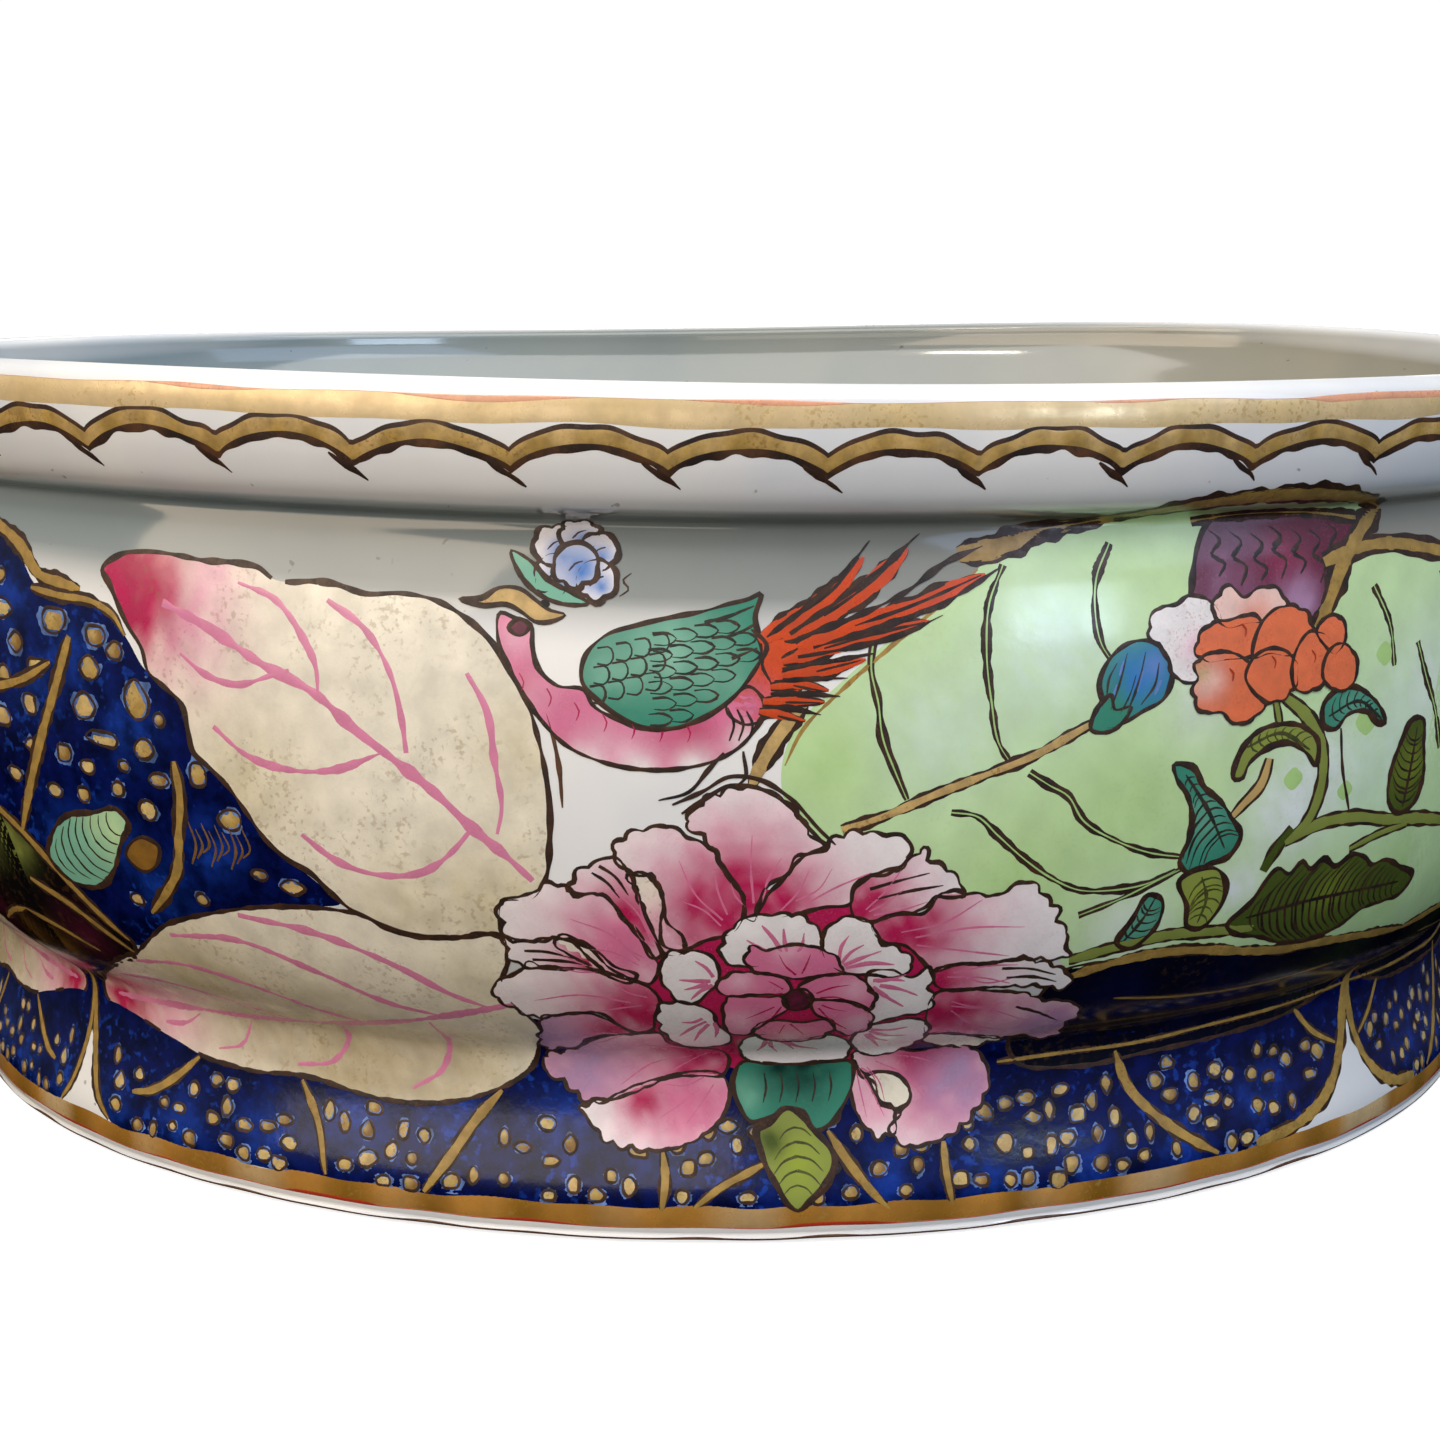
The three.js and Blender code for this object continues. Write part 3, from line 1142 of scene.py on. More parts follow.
@dataclass
class CobaltLeaf(Motif):
    """Dark blue leaf with pale and ochre dots at the upper left, its underside and a green leaflet."""

    name: str = "dotted_leaf"

    OUTLINE = (
        -118.3, 106.5, -112, 105.2, -106, 102.2, -102, 98.4, -96, 97.4, -90, 97, -86.5, 95, -84, 92.5,
        -81.3, 89, -78, 86.8, -75, 84.3, -74, 80.5, -73.5, 78, -70, 75.5, -66.5, 71.5, -64, 67.5, -60, 64,
        -56, 61, -53, 58, -56, 57.3, -62, 56.8, -68, 55.3, -73, 52.2, -78, 51, -84, 49.5, -90, 45.5,
        -93, 44.8, -97, 48.5, -103, 54.5, -110, 60.5, -118.3, 66,
    )
    DOTS = (
        -98, 94, 5, 3.5, -90, 92.5, 3.5, 3, -86.5, 90.7, 3, 2.6, -91.3, 88, 3.5, 3, -82.8, 84.5, 4.2, 5,
        -92.5, 82.5, 4, 3.6, -79, 82, 1.8, 1.8, -82, 77.5, 3.5, 3, -89.5, 78.3, 6, 2, -97.5, 75.2, 3, 3,
        -93, 73.8, 3, 1.8, -80, 73.3, 3.5, 2, -73, 75, 2.8, 4, -87.5, 71.3, 2.4, 2.4, -82.3, 68.8, 3, 2.8,
        -68.5, 69, 3.6, 3.2, -100.5, 69.3, 3.2, 2, -94.5, 69.5, 2.5, 2.2, -60, 59.8, 3.5, 2.2,
        -104, 81.5, 3, 3, -102, 87, 4, 2.5, -106.5, 90, 3, 3, -110, 94.5, 5, 3, -110.5, 99, 3, 2.4,
        -109.5, 85, 3, 2.8, -110.5, 79, 3.5, 3, -109, 70.5, 3.5, 2, -104.5, 75.5, 2.4, 2.2, -115, 90, 3, 3,
        -115, 74, 3, 2.6, -86, 74.8, 2, 1.8, -88, 54, 2.4, 2, -65, 61.2, 2.4, 1.6, -75.5, 56, 2.2, 1.8,
    )

    def draw(self, canvas: Canvas) -> None:
        """Draws the leaf, its veins, dots and leaflet.

        Args:
            canvas: canvas that it is painted on.
        """
        lit = (-95, 90, -84, 80, -103, 84, -72, 64, -108, 96, -90, 64, -100, 62, -82, 56)
        glow = tuple(Wash(u, v, 4.5, Paint.COBALT_LIT, 0.5) for u, v in pairs(lit))
        canvas.patch(Patch(self.OUTLINE, Finish.COBALT, Paint.COBALT, glow, 0, 0))
        under = (-118.3, 65, -110, 60.5, -103, 54.5, -97, 48.5, -93, 44.8, -94, 42.5, -100, 39, -106, 35.5,
                 -110, 33, -114, 29, -118.3, 30.5)
        canvas.patch(Patch(under, Finish.NAVY, Paint.BLACK, (
            Wash(-114, 59, 4, Paint.OLIVE_LIGHT, 0.9), Wash(-104, 44, 5, Paint.PLUM, 0.5),
            Wash(-114, 40, 4, Paint.OCHRE_DARK, 0.6)), 0, 0.9))
        canvas.strokes((
            ((-118, 107, -112, 106, -106, 103.5, -101, 99.8, -97, 99.2, -93, 98.6), 1.7),
            ((-103, 98, -97, 97.4, -90, 97, -86.5, 95.5, -84.5, 93), 1.0),
            ((-95, 92, -98, 85, -102, 77, -106, 69, -110, 61.5), 1.6),
            ((-77, 76.5, -76.5, 72, -77.5, 66, -79, 60, -82, 56, -86, 52), 1.4),
            ((-118, 82, -112, 83, -105, 85, -99, 88), 1.2),
            ((-112, 53, -104, 50, -98, 46, -94, 43), 1.2),
            ((-118, 46, -110, 44, -103, 41), 1.0),
            ((-118, 65.5, -110, 61, -103, 55, -97, 49, -93.5, 45.5), 1.3),
        ), paint=Paint.OCHRE, finish=Finish.OCHRE, rank=1, rim=0.45)
        for u, v, wide, high in np.array(self.DOTS).reshape(-1, 4):
            self.dot(canvas, u, v, wide, high)
        leaflet = (-105, 58, -103, 62, -99, 65.5, -93, 67, -88, 68, -86.5, 66.5, -88.5, 63, -91, 58.5,
                   -94, 55.5, -97.5, 54.3, -103, 55.5)
        light = Wash(-90, 65, 5, Paint.GREEN, 0.8)
        canvas.patch(Patch(leaflet, Finish.GREEN, Paint.TEAL_LIGHT, (light,), 2, 0.9))
        canvas.hatch((-104, 57.5, -97, 60.5, -88, 66.5), 6, 8, Paint.TEAL_DARK, 2, 0.5, leaflet)
        for k in range(9):
            u = -76 + k * 1.1
            twig = (u, 61.5 + k % 3, u + 1.2, 64.5, u + 0.4, 68 - k % 2)
            canvas.stroke(Stroke(twig, 0.45, Paint.OCHRE_DARK, rank=1))
        petal = (-88, 61, -84, 64.5, -81.5, 63.5, -82.5, 60.5, -85.5, 59)
        canvas.patch(Patch(petal, Finish.OCHRE, Paint.OCHRE_DARK, (), 2, 0.6))

    @staticmethod
    def dot(canvas: Canvas, u: float, v: float, wide: float, high: float) -> None:
        """Draws one pale or ochre dot with a brown ring, in a light blue halo.

        Args:
            canvas: where to draw.
            u: centre along the belly.
            v: centre up the profile.
            wide: width, mm.
            high: height, mm.
        """
        dice = np.random.default_rng(int(abs(u) * 97 + abs(v) * 131))
        turn = np.linspace(0, 2 * np.pi, 9)[:-1]
        paint = (Paint.DOT, Paint.TAN, Paint.OCHRE, Paint.OCHRE, Paint.OCHRE_DARK)[int(dice.integers(5))]
        glint = Wash(u - 0.15 * wide, v + 0.15 * high, 0.3 * wide, Paint.DOT, 0.8)
        for grow, finish, tone, washes, rank, edge in (
            (1.55, Finish.COBALT, Paint.HALO, (), 0.2, 0.0),
            (1.0, Finish.OCHRE, paint, (glint,), 0.45, 0.45),
        ):
            far = grow * (1 + 0.11 * dice.standard_normal(8).clip(-1.5, 1.5))
            ring = np.stack([u + np.cos(turn) * wide / 2 * far, v + np.sin(turn) * high / 2 * far], axis=1)
            canvas.patch(Patch(tuple(ring.ravel()), finish, tone, washes, rank, edge))


@dataclass
class CreamLeaves(Motif):
    """Two cream leaves with rose veins, one over the belly and one crossing the waist."""

    name: str = "cream_leaves"

    UPPER = (
        -89, 101.5, -86, 103.8, -82, 104.5, -76, 104.4, -72, 104, -66, 104, -63, 103.6, -60.5, 102.2,
        -58, 102, -55, 102.3, -52, 102.2, -47, 101.1, -42, 101.4, -37, 100.6, -33, 98.5, -29.5, 95.5,
        -27, 91.5, -25, 88, -23.8, 84, -22.8, 79, -22.3, 74, -22.5, 69, -23.2, 64, -25, 61, -29.5, 60,
        -30, 56.5, -29.8, 54.5, -31.5, 55, -36, 54.2, -41, 54, -45, 54.6, -48.5, 56, -51, 57, -54, 59.5,
        -57, 62.5, -60, 64, -63, 66.5, -65.5, 70, -68.5, 74, -71.5, 76.5, -73.5, 78, -74.2, 81, -75, 84.5,
        -78, 86.8, -80.5, 88.5, -81.5, 91.5, -84, 94.5, -86, 97.5, -87.5, 99.8,
    )
    LOWER = (
        -115, 27.5, -113, 30.5, -108.5, 34, -104.5, 37, -99, 40.5, -93, 43.5, -88.5, 47, -84.5, 50,
        -79, 52.4, -74, 54, -66, 56, -60, 56.8, -54, 57, -50, 56.5, -46, 54.5, -40, 53.8, -34, 54.5,
        -30, 55, -29.5, 51, -31, 46.5, -30, 42.5, -28, 39.5, -27, 37, -28.5, 31, -30, 26.5, -33, 24,
        -36, 22.5, -40, 21, -47, 19.6, -55, 19.4, -62, 20.2, -67, 21, -72, 21.1, -78.5, 20.5, -84, 20.6,
        -90, 21, -96, 22.4, -101, 23.4, -106, 24.6, -111, 25.4, -114.4, 26,
    )
    UPPER_VEINS = (
        ((-78, 98, -71, 95.5, -62, 91, -54, 87.5, -49, 83.5, -44, 80, -38, 75.5, -33, 70.8, -28, 66.5,
          -25, 63.5), 1.9),
        ((-66, 101.5, -60, 99.5, -56, 95, -54, 91, -53.8, 88), 1.2),
        ((-75, 91.5, -71, 89, -66, 88, -61, 89.5, -58, 90.5), 1.2),
        ((-70, 82, -65, 78.5, -58, 77, -52, 77.5, -45, 80.3), 1.3),
        ((-52.5, 100, -47, 96.5, -43.5, 91, -42, 85, -41.5, 80.5), 1.2),
        ((-33, 91.5, -30.5, 87, -29.5, 80, -28.8, 73, -29.5, 70), 1.2),
        ((-57.5, 68, -52, 64.3, -46, 63, -40, 64, -35.5, 67.5, -33, 70.5), 1.3),
    )
    LOWER_VEINS = (
        ((-111, 27.4, -96, 28.4, -80, 29.6, -66, 31.5, -50, 35.6, -40, 39, -30, 42.5), 1.7),
        ((-104, 35, -94, 36.5, -84, 35.5, -75, 32.6, -70, 31), 1.0),
        ((-95, 41, -84, 42.6, -72, 40.2, -62, 36, -56, 34), 1.1),
        ((-84, 48.5, -71, 49.6, -59, 45.4, -48, 40, -42, 38.6), 1.3),
        ((-70, 54.2, -58, 52.8, -46, 48.2, -38, 43.2, -34, 41.5), 1.5),
        ((-99, 25, -94, 25.8, -91, 27.8), 1.1),
        ((-87, 22.8, -82, 24.4, -80, 28.6), 1.0),
        ((-71, 22.8, -64, 24.4, -61.5, 28, -61.5, 31.4), 1.3),
        ((-50, 21.6, -45, 25, -43.5, 30, -44.5, 36.4), 1.2),
    )

    def draw(self, canvas: Canvas) -> None:
        """Draws both leaves and their veins.

        Args:
            canvas: canvas that it is painted on.
        """
        canvas.patch(Patch(self.UPPER, Finish.CREAM, Paint.CREAM, (
            Wash(-75, 96, 9, Paint.ROSE_PALE, 0.9), Wash(-84, 99.5, 8.0, Paint.ROSE_DEEP, 1.5),
            Wash(-80, 101, 4.5, Paint.ROSE_DEEP, 0.6), Wash(-70, 103, 4, Paint.ROSE_PALE, 0.7),
            Wash(-30, 60, 9, Paint.CREAM_SHADE, 0.7), Wash(-66, 74, 9, Paint.CREAM_SHADE, 0.6),
            Wash(-26, 82, 7, Paint.CREAM_SHADE, 0.5), Wash(-44, 58, 8, Paint.CREAM_SHADE, 0.5)),
            1, 0.75, gaps=(-60, 102, 1.6)))
        # The darker cream and taupe washes over the lower leaf, which crosses the waist, are partly painted
        # shade under the belly and partly a browner enamel.
        canvas.patch(Patch(self.LOWER, Finish.CREAM, Paint.CREAM, (
            Wash(-98, 28, 9, Paint.ROSE_PALE, 0.9), Wash(-109, 28, 7.5, Paint.ROSE_DEEP, 0.95),
            Wash(-60, 22, 12, Paint.CREAM_SHADE, 0.8), Wash(-84, 40, 12, Paint.CREAM_SHADE, 0.8),
            Wash(-34, 46, 8, Paint.CREAM_SHADE, 0.5), Wash(-40, 25, 9, Paint.CREAM_SHADE, 0.7),
            Wash(-62, 34, 11, Paint.CREAM_SHADE, 0.6), Wash(-48, 25, 12, Paint.TAUPE, 0.5),
            Wash(-78, 30, 12, Paint.TAUPE, 0.6), Wash(-62, 22, 8, Paint.TAUPE, 0.4)),
            1, 0.75, gaps=(-109, 25, 5, -96, 22.3, 5)))
        for path, width in self.UPPER_VEINS + self.LOWER_VEINS:
            canvas.stroke(Stroke(path, 0.8 * width, Paint.VEIN, Finish.ROSE, 1, (0.6, 0.5), worn=0.4))
        canvas.stroke(Stroke((-24.6, 92, -22.3, 86, -21, 80, -20.6, 74), 0.6, Paint.INK_THIN, rank=1))


@dataclass
class Songbird(Motif):
    """Long-tailed songbird above the peony, with the branch it stands on and a blue flower by its head."""

    name: str = "songbird"

    BODY = (
        -28.5, 99.5, -28.8, 96, -27.5, 93, -25.5, 89, -23, 85.5, -20, 82.5, -15, 80.3, -9, 79.4, -4, 79.8,
        0, 81, 3, 83, 5.5, 89, 4, 90.5, 0, 88, -4, 85.6, -9, 84.8, -13, 86, -16.5, 88, -17.5, 89.8,
        -21, 90.3, -23.5, 92.5, -24.3, 95.5, -24.5, 98, -26.5, 98.8,
    )
    WING = (
        -17.8, 91, -17.5, 94, -15, 96.8, -10.5, 98.4, -6, 99.5, -2, 100.3, 1, 101.2, 4, 102, 5.2, 102.6,
        4.5, 99.5, 5, 97, 5.3, 94.5, 4, 92, 1, 88.5, -3, 86, -8, 84.9, -12, 86, -15.5, 88.3,
    )
    CREST = (
        -34, 101, -31, 101.3, -29, 102.6, -26, 102.6, -24, 101.3, -22, 100, -20, 99.5, -22, 98.5, -24, 98.5,
        -25.5, 99.5, -27.5, 100.5, -31, 100.3,
    )
    TAIL = (
        ((5, 96.5, 10, 99.5, 15, 103, 18.8, 107.3), 2.6), ((8, 97, 14, 99.8, 20, 104, 24.8, 108.4), 2.8),
        ((10, 95.5, 18, 98.5, 25, 100.8, 35, 104.8), 2.4), ((8, 93.8, 14, 95.6, 20, 97.3, 27.2, 98.8), 2.2),
        ((8, 92, 13, 92.6, 18.8, 94), 1.9), ((6.5, 90.5, 10, 90.8, 14, 90), 1.7),
        ((5.5, 88.6, 9, 88.6, 13.5, 88.5), 1.6), ((5, 87.3, 8, 86.8, 11, 86), 1.5),
    )
    BARBS: tuple[Flat, ...] = (
        (6, 97, 12, 101.5, 17, 106.2, 19.8, 109.6), (9, 97.4, 15, 101.4, 21, 105.6, 26.6, 110.6),
        (10, 96.8, 17, 99.4, 24, 102.6, 30, 106.6, 35, 108.6), (12, 95.6, 20, 98, 28, 100.6, 37, 105.6),
        (10, 94.4, 16, 95.4, 23, 97, 29, 99.6), (8, 92.8, 13, 93.6, 20, 94.8), (7, 91.2, 11, 91.5,
         16.5, 91.6),
        (6.5, 89.6, 10.5, 89.6, 15.5, 89.2), (6, 88, 9.5, 87.6, 13, 86.8), (4, 98, 6, 96, 5.4, 93.4,
         6.6, 91),
    )

    def draw(self, canvas: Canvas) -> None:
        """Draws the bird from tail to crest, then the branch and the blue flower.

        Args:
            canvas: canvas that it is painted on.
        """
        branch = {"paint": Paint.TAN, "finish": Finish.OCHRE, "rim": 0.4}
        canvas.stroke(Stroke((11, 88.5, 7.5, 84, 5, 79.5, 4, 77), 2.0, rank=1, **branch))
        rump = (1, 87, 2.5, 92, 4, 96.5, 6.5, 98, 10, 98.6, 12.5, 97.5, 13, 95, 11.5, 92, 9.5, 89, 6.5, 86.6,
                3, 85.6)
        canvas.patch(Patch(rump, Finish.CORAL, Paint.ORANGE, (Wash(4, 88, 3, Paint.ROSE, 0.8),), 2, 0.4))
        for path, width in self.TAIL:
            flame = Stroke(path, 0.85 * width, Paint.ORANGE, Finish.CORAL, 2.5, (0.5, 0.15), 0.32, 0.3)
            canvas.stroke(flame)
            quill = pairs(path)[1:] - (0.6, 0.1)
            canvas.stroke(Stroke(tuple(quill.ravel()), 0.5, Paint.BLACK, rank=4))
        for path in self.BARBS:
            canvas.stroke(Stroke(path, 0.75, Paint.BLACK, rank=4, taper=(0.5, 0.15), worn=0.5))
        canvas.patch(Patch(self.BODY, Finish.ROSE, Paint.ROSE, (
            Wash(-25.5, 90, 2.5, Paint.ROSE_DEEP, 0.6), Wash(-26.5, 97, 3, Paint.ROSE_PALE, 0.7),
            Wash(-14, 82, 4, Paint.ROSE_PALE, 0.7), Wash(-4, 84.5, 4, Paint.ROSE_DEEP, 0.6),
            Wash(-24, 89, 3, Paint.ROSE_PALE, 0.5),
            Wash(-17, 80.3, 2.6, Paint.ROSE_WHITE, 0.8), Wash(-10, 79, 2.8, Paint.ROSE_WHITE, 0.9),
            Wash(-3, 79.6, 2.8, Paint.ROSE_WHITE, 0.9), Wash(3, 83.4, 2.2, Paint.ROSE_WHITE, 0.7)), 2, 0.6))
        for k in range(7):
            u = -26 + 3.6 * k
            v = 90 - 6.2 * math.sin(min(k / 4.2, 1.2) * 1.3)
            fold = (u, v + 1.8, u + 0.6, v + 0.5, u + 0.2, v - 0.6)
            canvas.stroke(Stroke(fold, 0.4, Paint.ROSE_DEEP, Finish.ROSE, 2))
        canvas.patch(Patch(self.WING, Finish.GREEN, Paint.TEAL, (
            Wash(-7, 95, 5, Paint.TEAL_LIGHT, 0.8), Wash(-14, 92, 3, Paint.TEAL_LIGHT, 0.6),
            Wash(1, 91, 3.5, Paint.TEAL_LIGHT, 0.6)), 3, 0.6))
        for row in range(4):
            for col in range(3):
                u = -15.8 + 2.4 * row + 0.5 * col
                v = 89.3 + 2.5 * col + 0.6 * row
                arc = (u - 1.0, v + 1.0, u + 0.7, v + 1.1, u + 1.1, v, u + 0.5, v - 1.1, u - 1.0, v - 1.0)
                canvas.stroke(Stroke(arc, 0.42, Paint.TEAL_DARK, Finish.INK, 3, (0.8, 0.8)))
        wing = smooth_line(pairs(self.WING), 0.7, True)
        for col in range(5):
            for row in range(7):
                u = -7.6 + 2.7 * col + 0.5 * (row % 2)
                v = 86.0 + 2.1 * row + 0.55 * col
                arc = (u - 1.6, v + 0.8, u + 0.4, v + 0.9, u + 1.5, v + 0.2, u + 0.5, v - 0.6,
                       u - 1.4, v - 0.6)
                if inside_ring(pairs(arc), wing).all():
                    canvas.stroke(Stroke(arc, 0.42, Paint.TEAL_DARK, rank=3, taper=(0.8, 0.5), worn=0.5))
        canvas.strokes((
            ((-2, 98.8, 1, 99.6, 4.4, 101), 0.6), ((1, 97, 3, 97.8, 4.4, 98.6), 0.6),
            ((1.5, 94.2, 3.5, 95, 4.8, 95.6), 0.6),
        ), paint=Paint.TEAL_DARK, rank=3, taper=(0.9, 0.4))
        for u in (1.0, 2.2, 3.4):
            canvas.stroke(Stroke((u, 88 - u * 0.2, u + 0.8, 85.6, u + 0.2, 83.4), 0.5, Paint.BLACK, rank=4))
        canvas.stroke(Stroke((0.5, 81.8, -1.5, 79.5, -4, 76.5, -8, 75.3), 0.6, Paint.BLACK, rank=3))
        canvas.stroke(Stroke((3, 82, 3, 78, 2.3, 77.5), 0.6, Paint.BLACK, rank=3))
        canvas.patch(Patch(self.CREST, Finish.OCHRE, Paint.TAN, (), 3, 0.6))
        eye = (-27.4, 97.6, -26, 98.8, -24.7, 97.8, -25.9, 96.6)
        canvas.patch(Patch(eye, Finish.CORAL, Paint.PLUM, (), 4, 0.5))
        speck = (-23.4, 101, -22.6, 101.4, -22, 100.7, -22.8, 100.2)
        canvas.patch(Patch(speck, Finish.INK, Paint.BLACK, (), 4, 0))
        lobes = (-21.6, 104.6, 2.7, -21.8, 108.6, 2.9, -18.6, 110.2, 2.7, -15.9, 107.8, 2.6, -16, 104, 2.7,
                 -18.8, 105.9, 3.0)
        for k, (u, v, size) in enumerate(np.array(lobes).reshape(-1, 3)):
            turn = np.linspace(0, 2 * np.pi, 8)[:-1] + k
            ring = np.stack([u + size * np.cos(turn), v + size * np.sin(turn)], axis=1)
            wash = (Wash(-18.8, 106, 3.6, Paint.BLUE_WASH), Wash(u + 0.6, v - 0.8, 1.3, Paint.BUD_BLUE, 0.8))
            rank = 1 + 0.9 * k
            lobe = tuple(ring.ravel())
            canvas.patch(Patch(
                lobe, Finish.ROSE, Paint.ROSE_WHITE, wash, rank, 0.7, ruffle=0.8, core=(-18.8, 106.2)))
            fold = (u - 0.9, v - 0.8, u, v + 0.2, u + 0.9, v + 0.5)
            canvas.stroke(Stroke(fold, 0.5, Paint.COBALT, rank=rank))
        leaf = (-27.5, 107.5, -24.5, 106, -22.5, 104, -19.5, 102.4, -17, 101, -20, 100.8, -23.5, 102,
                -25.8, 104)
        canvas.patch(Patch(leaf, Finish.GREEN, Paint.TEAL_LIGHT, (), 2, 0.6))
        canvas.stroke(Stroke((-13, 102, -11.8, 103, -12.6, 104, -11.5, 105), 0.4, Paint.INK, rank=1))


PetalRow = tuple[Paint, tuple[tuple[float, float, float, Paint], ...], Flat]


